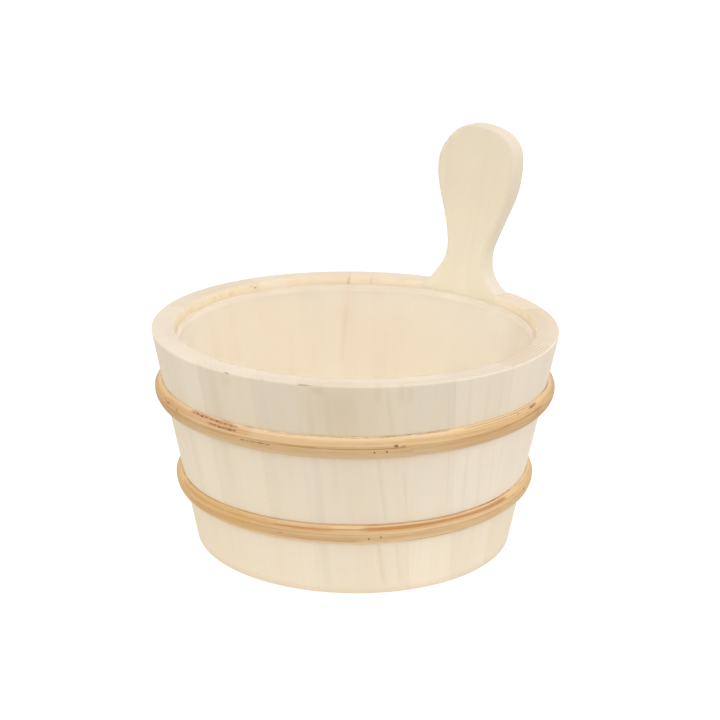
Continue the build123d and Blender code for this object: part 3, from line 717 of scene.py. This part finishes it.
def hoop_wood(name, seed, foot_light, top_light, marks=(), bands=(), flecks=1.0, sides=((1, 1, 1), (1, 1, 1)), starts=(20.0, 44.0)):
    """Split and bent strip: long fibres round the pail, the upper facet painted lighter and the lower one darker and
    browner as painted light and shade, bark left in places.

    bands run round the strip: (azimuth, azimuth, height there, height there, half height, strength, colour, breakup);
    marks are (azimuth, height, half width mm, half height, strength, colour). Heights are fractions of the strip's;
    sides are the tints away from the front, to the right and to the left, and starts the degrees where they set in."""
    net = Net(name)
    co = net.object_coords()
    front = 140.0
    local = net.turn(co, (0, 0, math.radians(front)))
    x, y, z = net.xyz(local)
    delta = net.m("ARCTAN2", x, y)
    radius = net.m("SQRT", net.add(net.mul(x, x), net.mul(y, y)))
    cx, cy = net.m("DIVIDE", x, radius), net.m("DIVIDE", y, radius)
    hu = net.node("ShaderNodeAttribute", attribute_name="hu").outputs["Fac"]
    part = net.node("ShaderNodeAttribute", attribute_name="part").outputs["Fac"]
    drift = net.noise(net.vec(net.add(seed, net.mul(part, 7.0)), net.mul(cx, 1.1), net.mul(cy, 1.1)), 1.0, 2.0, 0.5)
    h = net.add(hu, net.mul(net.sub(drift, 0.5), 0.10))
    h = net.add(h, net.add(seed * 3.1, net.mul(part, 11.0)))

    def along(cells, across, detail, rough=0.5):
        return net.noise(net.vec(net.mul(h, across), net.mul(cx, cells), net.mul(cy, cells)), 1.0, detail, rough)

    coarse = along(1.2, 5.0, 1.0)
    mid = along(2.6, 14.0, 2.0)
    fine = along(6.0, 38.0, 2.0, 0.6)
    hair = along(14.0, 105.0, 1.0)
    # painted light and shade: the upper facet is lit and the lower one shaded, and the light streaks fall mostly on the
    # upper facet
    facet = net.step(hu, 0.61, 0.73)
    colour = net.mix(facet, AMBER_PAINTED_SHADE, AMBER_PAINTED_LIT)
    colour = net.mix(net.mul(net.step(coarse, 0.42, 0.66, 0.0, 0.60), net.add(0.35, net.mul(facet, 0.65))), colour, AMBER_LIGHT)
    colour = net.mix(net.step(mid, 0.53, 0.70, 0.0, 0.34), colour, AMBER_DARK)
    colour = net.mix(net.step(mid, 0.47, 0.31, 0.0, 0.34), colour, AMBER_LIGHT)
    colour = net.mix(net.step(fine, 0.54, 0.72, 0.0, 0.34), colour, AMBER_DARK)
    colour = net.mix(net.step(fine, 0.46, 0.30, 0.0, 0.26), colour, AMBER_LIGHT)
    colour = net.mix(net.step(hair, 0.58, 0.72, 0.0, 0.26), colour, AMBER_DARK)
    # painted shade in the soft crease, a little darker in places; the lower edge is paler
    dash = along(10.0, 40.0, 2.0, 0.6)
    patch = along(2.2, 3.0, 1.0)
    torn = along(26.0, 70.0, 3.0, 0.7)
    bend = net.m("ABSOLUTE", net.sub(net.add(hu, net.mul(net.sub(mid, 0.5), 0.03)), 0.675))
    colour = net.mix(net.mul(net.step(bend, 0.012, 0.065, 0.44, 0.0), net.step(patch, 0.40, 0.60, 0.25, 1.0)), colour, AMBER_DARK)
    colour = net.mix(net.step(hu, 0.46, 0.14, 0.0, foot_light), colour, srgb(238, 206, 162))
    # the top edge catches the light, and the slope just above the crease is duller
    dull = net.mul(net.step(hu, 0.72, 0.78), net.step(hu, 0.87, 0.80))
    colour = net.mix(net.mul(dull, 0.45), colour, srgb(211, 176, 134))
    colour = net.mix(net.step(hu, 0.84, 0.96, 0.0, top_light), colour, srgb(250, 224, 186))
    # torn bark along the top edge, with painted contact shade where the strip meets the wall, and short dashes
    # elsewhere
    top = net.mul(net.step(hu, 0.955, 0.99), net.step(patch, 0.40, 0.58))
    colour = net.mix(net.mul(net.mul(top, net.step(dash, 0.44, 0.66)), 0.50 * flecks), colour, BARK)
    rare = net.mul(net.step(dash, 0.68, 0.77), net.step(patch, 0.54, 0.70))
    colour = net.mix(net.mul(rare, 0.50 * flecks), colour, BARK)
    # the strip darkens to the sides
    colour = net.mix(net.step(delta, math.radians(-starts[0]), math.radians(-starts[0] - 20.0)), colour, (*sides[0], 1), "MULTIPLY")
    colour = net.mix(net.step(delta, math.radians(starts[1]), math.radians(starts[1] + 22.0)), colour, (*sides[1], 1), "MULTIPLY")
    height = net.add(net.mul(fine, 0.7), net.add(net.mul(hair, 0.35), net.mul(mid, 0.8)))
    for az0, az1, u0, u1, half, strength, tint, breakup in bands:
        lo, hi = math.radians(min(az0, az1) - front), math.radians(max(az0, az1) - front)
        if az0 > az1:
            u0, u1 = u1, u0
        t = net.m("DIVIDE", net.sub(delta, lo), hi - lo)
        ends = min(0.45, 3.5 / math.degrees(hi - lo))
        window = net.mul(net.step(t, 0.0, ends), net.step(t, 1.0 - ends, 1.0, 1.0, 0.0))
        here = net.add(u0, net.mul(t, u1 - u0))
        off = net.m("ABSOLUTE", net.sub(net.add(hu, net.mul(net.sub(mid, 0.5), 0.05)), here))
        mask = net.mul(window, net.step(off, half * 0.55, half * 1.45 + 0.008, 1.0, 0.0))
        if breakup:
            mask = net.mul(mask, net.step(torn, 0.34 + 0.12 * breakup, 0.56 + 0.08 * breakup, 1.0 - breakup, 1.0))
        colour = net.mix(net.mul(mask, strength), colour, tint)
        height = net.sub(height, net.mul(mask, 0.3 * strength))
    for az, uu, hw, hh, strength, tint in marks:
        dx = net.m("DIVIDE", net.mul(net.sub(delta, math.radians(az - front)), radius), hw / 1000)
        dz = net.m("DIVIDE", net.sub(hu, uu), hh)
        d = net.m("SQRT", net.add(net.mul(dx, dx), net.mul(dz, dz)))
        rag = net.noise(net.turn(co, scale=(700, 700, 900)), 1.0, 2.0, 0.6)
        d = net.add(d, net.mul(net.sub(rag, 0.5), 1.1))
        colour = net.mix(net.step(d, 0.30, 1.10, strength, 0.0), colour, tint)
    bsdf = net.node("ShaderNodeBsdfPrincipled")
    net.put(bsdf.inputs["Base Color"], colour)
    net.put(bsdf.inputs["Roughness"], net.step(mid, 0.3, 0.7, 0.40, 0.54))
    bsdf.inputs["Specular IOR Level"].default_value = 0.38
    net.put(bsdf.inputs["Normal"], net.bump(height, 0.00016, 0.55))
    return net.finish(bsdf.outputs[0])


UP_RISE = [(0 - 38.5, 0.0), (45 - 38.5, 0.3), (90 - 38.5, 1.2), (112 - 38.5, 1.6), (135 - 38.5, 1.2), (154 - 38.5, 0.6),
           (180 - 38.5, 0.0), (210 - 38.5, -0.3), (230 - 38.5, -0.3), (270 - 38.5, -0.2), (315 - 38.5, 0.1)]
LO_RISE = [(0 - 38.5, 0.2), (45 - 38.5, 0.5), (90 - 38.5, 1.0), (120 - 38.5, 1.1), (140 - 38.5, 0.5), (180 - 38.5, 0.0),
           (215 - 38.5, -0.7), (245 - 38.5, -1.2), (285 - 38.5, -1.0), (320 - 38.5, -0.1)]
UP_SWELL = [(20, 0.02), (75, -0.02), (120, 0.015), (165, 0.02), (200, -0.01), (250, 0.02), (310, -0.02)]
LO_SWELL = [(10, -0.02), (60, 0.02), (110, 0.0), (150, 0.01), (205, -0.03), (260, 0.01), (320, 0.02)]

upper_look = hoop_wood(
    "hoop_wood_upper", 1.3, 0.62, 0.70,
    marks=[(130.7, 0.715, 1.8, 0.060, 0.80, BARK), (130.4, 0.71, 0.7, 0.035, 0.70, BLACKISH), (128.8, 0.70, 2.4, 0.03, 0.45, BARK),
           (199.2, 0.77, 0.5, 0.09, 0.75, BARK), (198.6, 0.71, 1.2, 0.025, 0.6, BARK), (205.4, 0.78, 2.6, 0.030, 0.75, BARK),
           (208.0, 0.83, 1.6, 0.03, 0.6, BARK)]
    + [(az, u, w * 1.45, 0.014 + 0.008 * w * g, g * 0.92, DARK_BARK) for az, u, w, g in (
        (191.4, 0.935, 0.9, 0.60), (189.6, 0.945, 1.2, 0.70), (187.8, 0.925, 1.5, 0.90), (185.9, 0.940, 1.1, 0.75), (184.0, 0.935, 0.8, 0.60),
        (181.6, 0.930, 1.6, 0.80), (180.2, 0.910, 0.9, 0.60), (178.5, 0.925, 1.2, 0.75), (176.4, 0.920, 0.9, 0.55), (174.8, 0.925, 1.3, 0.60),
        (183.4, 0.825, 0.9, 0.65), (181.7, 0.820, 1.2, 0.75), (180.0, 0.800, 1.5, 0.95), (178.6, 0.810, 1.1, 0.85), (176.3, 0.800, 1.5, 0.90),
        (174.9, 0.815, 1.3, 0.90), (172.0, 0.545, 1.3, 0.90), (170.4, 0.545, 0.8, 0.60), (168.8, 0.575, 1.1, 0.70), (166.6, 0.570, 1.7, 0.90),
        (164.4, 0.545, 1.2, 0.80), (90.6, 0.905, 1.6, 0.50), (83.2, 0.90, 1.9, 0.80), (81.0, 0.915, 1.4, 0.75))],
    bands=[(168.0, 208.0, 0.86, 0.86, 0.10, 0.26, ORANGE, 0.30), (173.5, 194.0, 0.935, 0.945, 0.024, 0.50, BARK, 0.70),
           (173.0, 186.0, 0.81, 0.81, 0.026, 0.55, BARK, 0.70),
           (162.5, 174.0, 0.56, 0.55, 0.022, 0.55, BARK, 0.75), (172.0, 206.0, 0.62, 0.60, 0.05, 0.20, ORANGE, 0.30), (126.0, 163.0, 0.645, 0.62, 0.022, 0.62, ORANGE, 0.25),
           (127.0, 150.0, 0.665, 0.640, 0.010, 0.45, BARK, 0.45),
           (79.5, 86.0, 0.90, 0.89, 0.026, 0.80, BARK, 0.45), (76.0, 101.0, 0.74, 0.68, 0.012, 0.75, BARK, 0.40),
           (78.0, 112.0, 0.955, 0.945, 0.010, 0.45, BARK, 0.45), (78.0, 110.0, 0.90, 0.885, 0.006, 0.30, BARK, 0.45),
           # the thin broken dark band along the top edge, from 114 to 166 degrees, is bark and painted contact shade
           (114.0, 166.0, 0.975, 0.975, 0.016, 0.55, BARK, 0.85), (196.0, 216.0, 0.50, 0.44, 0.010, 0.40, BARK, 0.5),
           (186.0, 204.0, 0.34, 0.30, 0.010, 0.35, AMBER_DARK, 0.3), (173.5, 194.0, 0.93, 0.94, 0.040, 0.55, ORANGE, 0.35),
           (173.5, 186.0, 0.81, 0.81, 0.040, 0.50, ORANGE, 0.35), (78.0, 84.0, 0.60, 0.56, 0.14, 0.40, ORANGE, 0.6),
           (186.0, 212.0, 0.22, 0.20, 0.012, 0.45, BARK, 0.6), (74.0, 92.0, 0.30, 0.26, 0.010, 0.5, BARK, 0.5)],
    sides=((0.93, 0.865, 0.775), (0.905, 0.84, 0.68)), starts=(18.0, 46.0))
lower_look = hoop_wood(
    "hoop_wood_lower", 5.9, 0.85, 0.30,
    marks=[(74.5, 0.70, 1.3, 0.08, 0.80, BARK), (75.6, 0.60, 0.7, 0.05, 0.6, BARK), (176.5, 0.62, 1.4, 0.02, 0.6, BARK),
           (163.5, 0.52, 1.6, 0.02, 0.55, BARK)],
    bands=[(146.0, 214.0, 0.86, 0.85, 0.10, 0.24, ORANGE, 0.25), (78.0, 140.0, 0.80, 0.80, 0.035, 0.22, AMBER_DARK, 0.20),
           (85.0, 140.0, 0.885, 0.865, 0.046, 0.76, ORANGE, 0.12), (136.0, 168.0, 0.86, 0.82, 0.022, 0.62, ORANGE, 0.30),
           (164.0, 205.0, 0.80, 0.86, 0.014, 0.35, AMBER_DARK, 0.35),
           (138.0, 205.0, 0.40, 0.52, 0.120, 0.30, srgb(192, 138, 78), 0.20), (138.0, 160.0, 0.33, 0.36, 0.020, 0.45, BARK, 0.60),
           (103.0, 128.0, 0.27, 0.17, 0.012, 0.60, BARK, 0.30), (88.0, 104.0, 0.46, 0.27, 0.012, 0.60, BARK, 0.30),
           (100.0, 128.0, 0.21, 0.10, 0.008, 0.40, BARK, 0.40), (186.0, 214.0, 0.34, 0.30, 0.012, 0.45, BARK, 0.55),
           (80.0, 210.0, 0.985, 0.985, 0.010, 0.40, BARK, 0.30)],
    sides=((0.985, 0.955, 0.86), (0.985, 0.93, 0.74)), starts=(46.0, 20.0))
hoop_up = hoop_object("hoop_upper_strip", 99.3, 14.3, 6.1, UP_RISE, UP_SWELL, (200.0, 124.5, 0.14), 11,
                      [(120, 152, 0.63, 0.64, 0.20, 0.30), (78, 100, 0.70, 0.68, 0.16, 0.25), (170, 195, 0.80, 0.78, 0.16, 0.30),
                       (220, 300, 0.45, 0.50, 0.12, 0.30), (310, 380, 0.75, 0.70, 0.12, 0.30)], upper_look)
hoop_lo = hoop_object("hoop_lower_strip", 38.5, 13.3, 5.3, LO_RISE, LO_SWELL, (187.0, 131.0, 0.12), 12,
                      [(84, 140, 0.87, 0.87, 0.22, 0.28), (140, 200, 0.82, 0.82, 0.16, 0.30), (137, 196, 0.34, 0.40, 0.14, 0.30),
                       (84, 128, 0.45, 0.15, 0.16, 0.22), (240, 330, 0.60, 0.55, 0.12, 0.30)], lower_look)
for o, n in ((hoop_up, "hoop_upper"), (hoop_lo, "hoop_lower")):
    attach(o, "pail")
    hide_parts(n)

# ------------------------------------------------------------------ brads: small domed heads driven into the laps
net = Net("brad_iron")
co = net.object_coords()
grit = net.noise(net.turn(co, scale=(2400, 2400, 2400)), 1.0, 3.0, 0.6)
colour = net.ramp(grit, [(0.30, (0.120, 0.054, 0.012)), (0.55, (0.200, 0.096, 0.026)), (0.75, (0.30, 0.160, 0.056))])
bsdf = net.node("ShaderNodeBsdfPrincipled")
net.put(bsdf.inputs["Base Color"], colour)
bsdf.inputs["Metallic"].default_value = 0.35
net.put(bsdf.inputs["Roughness"], net.step(grit, 0.3, 0.7, 0.45, 0.68))
net.put(bsdf.inputs["Normal"], net.bump(grit, 0.00006, 0.5))
brad_look = net.finish(bsdf.outputs[0])


def brad_mesh(places):
    """Domed heads with a short shank, each seated on the strip where it is driven in."""
    pts, faces = [], []
    profile = [(0.0, 0.20), (0.20, 0.185), (0.38, 0.14), (0.52, 0.06), (0.60, -0.06), (0.58, -0.16), (0.30, -0.22), (0.30, -2.0), (0.0, -2.3)]
    for tree, deg, z in places:
        a = math.radians(deg)
        ray_from = Vector((0.2 * math.sin(a), 0.2 * math.cos(a), z / 1000))
        hit, normal, index, dist = tree.ray_cast(ray_from, Vector((-math.sin(a), -math.cos(a), 0)))
        out = (Vector((math.sin(a), math.cos(a), 0)) * CL - Vector((0, 0, SL)) + normal * 0.8).normalized()
        side = out.cross(Vector((0, 0, 1))).normalized()
        rise = side.cross(out).normalized()
        start = len(pts)
        ring = 20
        for q, (r, h) in enumerate(profile):
            centre = hit + out * (h / 1000)
            if r == 0.0:
                pts.append(centre)
                continue
            for s in range(ring):
                b = 2 * math.pi * s / ring
                wob = 1.0 + 0.05 * math.sin(2 * b + deg)
                pts.append(centre + (side * math.cos(b) + rise * math.sin(b)) * (r * wob / 1000))
        first = start + 1
        for s in range(ring):
            faces.append([start, first + s, first + (s + 1) % ring])
        for q in range(len(profile) - 3):
            lo, up_ = first + q * ring, first + (q + 1) * ring
            for s in range(ring):
                faces.append([lo + s, up_ + s, up_ + (s + 1) % ring, lo + (s + 1) % ring])
        last = first + (len(profile) - 3) * ring
        tip = last + ring
        for s in range(ring):
            faces.append([last + s, tip, last + (s + 1) % ring])
    return pts, faces


trees = {}
for key, o in (("upper", hoop_up), ("lower", hoop_lo)):
    trees[key] = BVHTree.FromPolygons([v.co.copy() for v in o.data.vertices], [tuple(p.vertices) for p in o.data.polygons])
pts, faces = brad_mesh([(trees["upper"], 136.3, 105.0), (trees["upper"], 133.1, 105.3),
                        (trees["lower"], 136.9, 43.6), (trees["lower"], 133.4, 44.6)])
brads = build("hoop_brad_heads", [tuple(p) for p in pts], faces, {}, brad_look)
bm = bmesh.new()
bm.from_mesh(brads.data)
bmesh.ops.recalc_face_normals(bm, faces=bm.faces)
bm.to_mesh(brads.data)
bm.free()
brads.data.shade_smooth()
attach(brads, "pail")
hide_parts("hoop_brads")

# splinters that stand out under the lower hoop
pts, faces = [], []
for deg, z, length, turn in ((141.6, 38.4, 2.6, -25), (140.2, 38.3, 3.0, -38), (139.4, 38.3, 1.8, -10), (166.8, 39.0, 1.4, 15)):
    a = math.radians(deg)
    out = Vector((math.sin(a), math.cos(a), 0))
    along_ = Vector((math.cos(a), -math.sin(a), 0))
    root = Vector(off_wall(np.array([deg]), z, np.array([0.9]), np.array([1.6]))[0])
    way = (Vector((0, 0, -1)) * math.cos(math.radians(turn)) + along_ * math.sin(math.radians(turn)) + out * 0.05).normalized()
    side = way.cross(out).normalized()
    start = len(pts)
    for q in range(5):
        f = q / 4
        c = root + way * (length * f / 1000) + out * (0.0003 * f * f)
        r = 0.00016 * (1 - 0.85 * f)
        for s in range(6):
            b = math.pi * s / 3
            pts.append(tuple(c + (side * math.cos(b) * 1.2 + out * math.sin(b) * 0.7) * r))
    for q in range(4):
        for s in range(6):
            lo_, up_ = start + q * 6, start + (q + 1) * 6
            faces.append([lo_ + s, lo_ + (s + 1) % 6, up_ + (s + 1) % 6, up_ + s])
    faces.append([start + s for s in range(6)][::-1])
    faces.append([start + 24 + s for s in range(6)])
slivers = build("hoop_splinters", pts, faces, {"hu": np.full(len(pts), 0.1), "part": np.zeros(len(pts))}, lower_look)
bm = bmesh.new()
bm.from_mesh(slivers.data)
bmesh.ops.recalc_face_normals(bm, faces=bm.faces)
bm.to_mesh(slivers.data)
bm.free()
slivers.data.shade_smooth()
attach(slivers, "pail")

# ------------------------------------------------------------------ liner: milky translucent plastic
net = Net("liner_frost")
co = net.object_coords()
mist = net.noise(net.turn(co, scale=(30, 30, 22)), 1.0, 3.0, 0.5)
tiny = net.noise(net.turn(co, scale=(1300, 1300, 1300)), 1.0, 2.0, 0.5)
scuff = net.noise(net.turn(co, scale=(260, 260, 40)), 1.0, 3.0, 0.6)
colour = net.mix(net.step(mist, 0.35, 0.65), srgb(255, 248, 235), srgb(255, 246, 230))
# the wood behind shows through it as faint upright tones, and one stave's brown streak as a soft line
lx, ly, lz = net.xyz(co)
reach = net.m("SQRT", net.add(net.mul(lx, lx), net.mul(ly, ly)))
cx, cy = net.m("DIVIDE", lx, reach), net.m("DIVIDE", ly, reach)
wall_only = net.step(reach, 0.060, 0.088)
behind = net.noise(net.vec(net.mul(cx, 9.0), net.mul(cy, 9.0), net.mul(lz, 4.0)), 1.0, 2.0, 0.5)
staves = net.noise(net.vec(net.mul(cx, 3.0), net.mul(cy, 3.0), 4.0), 1.0, 1.0, 0.5)
colour = net.mix(net.mul(wall_only, net.step(behind, 0.48, 0.74, 0.0, 0.14)), colour, srgb(238, 214, 184))
colour = net.mix(net.mul(wall_only, net.step(behind, 0.48, 0.26, 0.0, 0.22)), colour, srgb(255, 249, 238))
colour = net.mix(net.mul(wall_only, net.step(staves, 0.44, 0.62, 0.0, 0.09)), colour, srgb(240, 220, 196))
turned = net.turn(co, (0, 0, math.radians(318.0)))
tx, ty, tz = net.xyz(turned)
bearing = net.m("ARCTAN2", tx, ty)
for az0, z0, az1, z1, half, strength, tint in (
        (319.6, 148.0, 317.2, 104.0, 3.0, 0.05, (206, 160, 126)), (318.2, 130.0, 315.8, 82.0, 3.2, 0.07, (202, 154, 120)),
        (305.4, 100.0, 304.9, 80.0, 2.6, 0.04, (210, 170, 134)), (296.5, 118.0, 295.0, 60.0, 4.5, 0.08, (220, 190, 156)),
        (333.0, 120.0, 332.0, 50.0, 6.0, 0.08, (226, 196, 160))):
    t = net.m("DIVIDE", net.sub(tz, z0 / 1000), (z1 - z0) / 1000)
    here = net.add(math.radians(az0 - 318.0), net.mul(t, math.radians(az1 - az0)))
    sway = net.mul(net.sub(net.noise(net.vec(cx, cy, net.mul(tz, 40.0)), 1.0, 2.0, 0.5), 0.5), 0.0022)
    aside = net.m("ABSOLUTE", net.add(net.mul(net.sub(bearing, here), reach), sway))
    line = net.mul(net.step(aside, 0.0002, half / 1000, 1.0, 0.0), net.mul(net.step(t, 0.0, 0.25), net.step(t, 0.75, 1.0, 1.0, 0.0)))
    colour = net.mix(net.mul(net.mul(line, strength), wall_only), colour, srgb(*tint))
# towards its lip it grows denser and takes on the tone of the bare wood above
dense = net.step(lz, LIP_Z - 0.0055, LIP_Z - 0.0010)
colour = net.mix(net.mul(dense, dense), colour, srgb(233, 220, 204))
bsdf = net.node("ShaderNodeBsdfPrincipled")
net.put(bsdf.inputs["Base Color"], colour)
net.put(bsdf.inputs["Roughness"], net.add(net.step(mist, 0.3, 0.7, 0.42, 0.52), net.step(scuff, 0.6, 0.8, 0.0, 0.08)))
bsdf.inputs["IOR"].default_value = 1.45
bsdf.inputs["Specular IOR Level"].default_value = 0.30
net.put(bsdf.inputs["Alpha"], net.add(net.mul(dense, 0.42), 0.52))
net.put(bsdf.inputs["Normal"], net.bump(net.add(tiny, net.mul(scuff, 0.4)), 0.00004, 0.25))
frost = net.finish(bsdf.outputs[0])

net = Net("liner_edge")
co = net.object_coords()
mist = net.noise(net.turn(co, scale=(60, 60, 60)), 1.0, 3.0, 0.5)
fine = net.noise(net.turn(co, scale=(900, 900, 900)), 1.0, 2.0, 0.5)
colour = net.mix(net.step(mist, 0.32, 0.68), srgb(232, 218, 197), srgb(229, 214, 192))
bsdf = net.node("ShaderNodeBsdfPrincipled")
net.put(bsdf.inputs["Base Color"], colour)
net.put(bsdf.inputs["Roughness"], net.step(mist, 0.3, 0.7, 0.48, 0.58))
bsdf.inputs["IOR"].default_value = 1.45
bsdf.inputs["Specular IOR Level"].default_value = 0.20
net.put(bsdf.inputs["Normal"], net.bump(fine, 0.00003, 0.25))
edge_look = net.finish(bsdf.outputs[0])


def liner_object(material, edge):
    """The insert as a turned shell whose soft lip lies against the staves."""
    foot, lip, thick, play = 19.5, LIP_Z * 1000, 1.1, 0.45

    def bore(z):
        return (BASE_R + TAPER * z / 1000 - WALL) * 1000
    section = [(20.0, foot), (60.0, foot), (bore(foot) - play - 9.0 * 0.83, foot)]
    corner = bore(foot) - play
    turn = math.pi / 2 - LEAN
    reach = 9.0 * math.tan(turn / 2)
    cx0, cz0 = corner - reach, foot + 9.0
    for k in range(1, 9):
        a = turn * k / 8
        section.append((cx0 + 9.0 * math.sin(a), cz0 - 9.0 * math.cos(a)))
    for z in (40.0, 70.0, 100.0, 125.0, lip - 6.0):
        section.append((bore(z) - play, z))
    for k in range(1, 6):
        t = k / 5
        z = lip - 6.0 + 5.82 * t
        section.append((bore(z) - play + 0.42 * t * t, z))
    outer = bore(lip) - play + 0.42
    inner = bore(lip) - play - thick + 0.12
    middle_r, half = (outer + inner) / 2, (outer - inner) / 2
    for k in range(1, 6):
        a = math.pi * k / 6
        section.append((middle_r + half * math.cos(a), lip - 0.18 + 0.18 * math.sin(a)))
    for k in range(0, 6):
        t = 1 - k / 5
        z = lip - 6.0 + 5.82 * t
        section.append((bore(z) - play - thick + 0.12 * t * t, z))
    for z in (125.0, 100.0, 70.0, 40.0):
        section.append((bore(z) - play - thick, z))
    for k in range(8, 0, -1):
        a = turn * k / 8
        section.append((cx0 + 7.9 * math.sin(a), cz0 - 7.9 * math.cos(a)))
    section += [(cx0 - 1.0, foot + thick), (60.0, foot + thick), (20.0, foot + thick)]
    count, m = 256, len(section)
    points, faces = [], []
    for i in range(count):
        a = 2 * math.pi * i / count
        points += [(r * math.sin(a) / 1000, r * math.cos(a) / 1000, z / 1000) for r, z in section]
    for i in range(count):
        j = (i + 1) % count
        faces += [(i * m + k, i * m + k + 1, j * m + k + 1, j * m + k) for k in range(m - 1)]
    low, high = len(points), len(points) + 1
    points += [(0.0, 0.0, foot / 1000), (0.0, 0.0, (foot + thick) / 1000)]
    for i in range(count):
        j = (i + 1) % count
        faces += [(low, i * m, j * m), (high, j * m + m - 1, i * m + m - 1)]
    o = build("liner_insert", points, faces, {}, material)
    o.data.materials.append(edge)
    for poly in o.data.polygons:
        if poly.center.z > LIP_Z - 0.0012:
            poly.material_index = 1
    bm = bmesh.new()
    bm.from_mesh(o.data)
    bmesh.ops.recalc_face_normals(bm, faces=bm.faces)
    bm.to_mesh(o.data)
    bm.free()
    o.data.shade_smooth()
    return o


insert = liner_object(frost, edge_look)
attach(insert, "liner")
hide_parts("liner")

# ------------------------------------------------------------------ floor, light, camera
me = bpy.data.meshes.new("floor")
S = 30.0
me.from_pydata([(-S, -S, -0.0006), (S, -S, -0.0006), (S, S, -0.0006), (-S, S, -0.0006)], [], [(0, 1, 2, 3)])
floor = bpy.data.objects.new("floor", me)
scene.collection.objects.link(floor)
net = Net("floor_paper")
co = net.object_coords()
speck = net.noise(net.turn(co, scale=(300, 300, 300)), 1.0, 2.0, 0.5)
colour = net.mix(speck, (0.17, 0.17, 0.17, 1), (0.19, 0.19, 0.19, 1))
paper = net.node("ShaderNodeBsdfDiffuse")
net.put(paper.inputs["Color"], colour)
fx, fy, fz = net.xyz(co)
away = net.m("SQRT", net.add(net.mul(fx, fx), net.mul(fy, fy)))
glow = net.node("ShaderNodeEmission")
glow.inputs["Color"].default_value = (1, 1, 1, 1)
# the paper is brightest round the pail; it is exposed to plain white
direct = net.node("ShaderNodeLightPath").outputs["Is Camera Ray"]
lit = net.step(away, 0.10, 0.34, 0.72, 0.375)
net.put(glow.inputs["Strength"], net.m("MAXIMUM", lit, net.mul(direct, 0.93)))
both = net.node("ShaderNodeAddShader")
net.put(both.inputs[0], paper.outputs[0])
net.put(both.inputs[1], glow.outputs[0])
me.materials.append(net.finish(both.outputs[0]))

world = bpy.data.worlds.new("studio")
scene.world = world
world.use_nodes = True
sky = world.node_tree.nodes["Background"]
sky.inputs["Color"].default_value = (1.0, 1.0, 1.0, 1)
path = world.node_tree.nodes.new("ShaderNodeLightPath")
level = world.node_tree.nodes.new("ShaderNodeMapRange")
level.inputs["To Min"].default_value, level.inputs["To Max"].default_value = 0.824, 1.0
world.node_tree.links.new(path.outputs["Is Camera Ray"], level.inputs["Value"])
world.node_tree.links.new(level.outputs["Result"], sky.inputs["Strength"])


def area(name, place, target, size, power, colour=(1, 1, 1)):
    light = bpy.data.lights.new(name, "AREA")
    light.shape = "DISK"
    light.size = size
    light.energy = power
    light.color = colour
    o = bpy.data.objects.new(name, light)
    scene.collection.objects.link(o)
    o.location = place
    o.rotation_mode = "QUATERNION"
    o.rotation_quaternion = (Vector(target) - Vector(place)).to_track_quat("-Z", "Y")
    o.visible_camera = False
    return o


TURN = Matrix.Rotation(math.radians(38.5), 3, "Z")


def seen(x, y, z):
    """A place given as right, away and up from the photograph's side, in the part's frame."""
    return TURN @ Vector((x, y, z))


area("top_softbox", seen(0.0, 0.2, 1.5), (0, 0, 0.1), 1.8, 3.0)
area("front_fill", seen(0.0, -1.7, 0.8), (0, 0, 0.08), 1.2, 5.9)
bounce = area("inside_bounce", seen(0.0, 0.0, 1.2), (0, 0, 0), 0.19, 0.16)
bounce.data.spread = math.radians(3)
area("right_fill", seen(1.6, -0.2, 0.7), (0, 0, 0.08), 1.2, 5.7)
area("left_fill", seen(-1.6, -0.2, 0.7), (0, 0, 0.08), 1.2, 3.7)

# camera as fitted to the rim, foot and wall of the photographed pail
pitch, yaw, roll = 0.30799, 0.00321, 0.01194
fwd = Vector((math.sin(yaw) * math.cos(pitch), math.cos(yaw) * math.cos(pitch), -math.sin(pitch)))
right = Vector((math.cos(yaw), -math.sin(yaw), 0))
up = right.cross(fwd)
r2 = math.cos(roll) * right + math.sin(roll) * up
u2 = -math.sin(roll) * right + math.cos(roll) * up
axes = Matrix((TURN @ r2, TURN @ u2, TURN @ -fwd)).transposed()
camera = bpy.data.cameras.new("camera")
camera.lens, camera.sensor_width = 79.02, 36.0
camera.clip_start, camera.clip_end = 0.01, 100.0
eye = bpy.data.objects.new("camera", camera)
scene.collection.objects.link(eye)
eye.matrix_world = Matrix.Translation((0.6286, -0.7902, 0.44159)) @ axes.to_4x4()
scene.camera = eye

scene.view_settings.view_transform = "Standard"
scene.view_settings.look = "None"
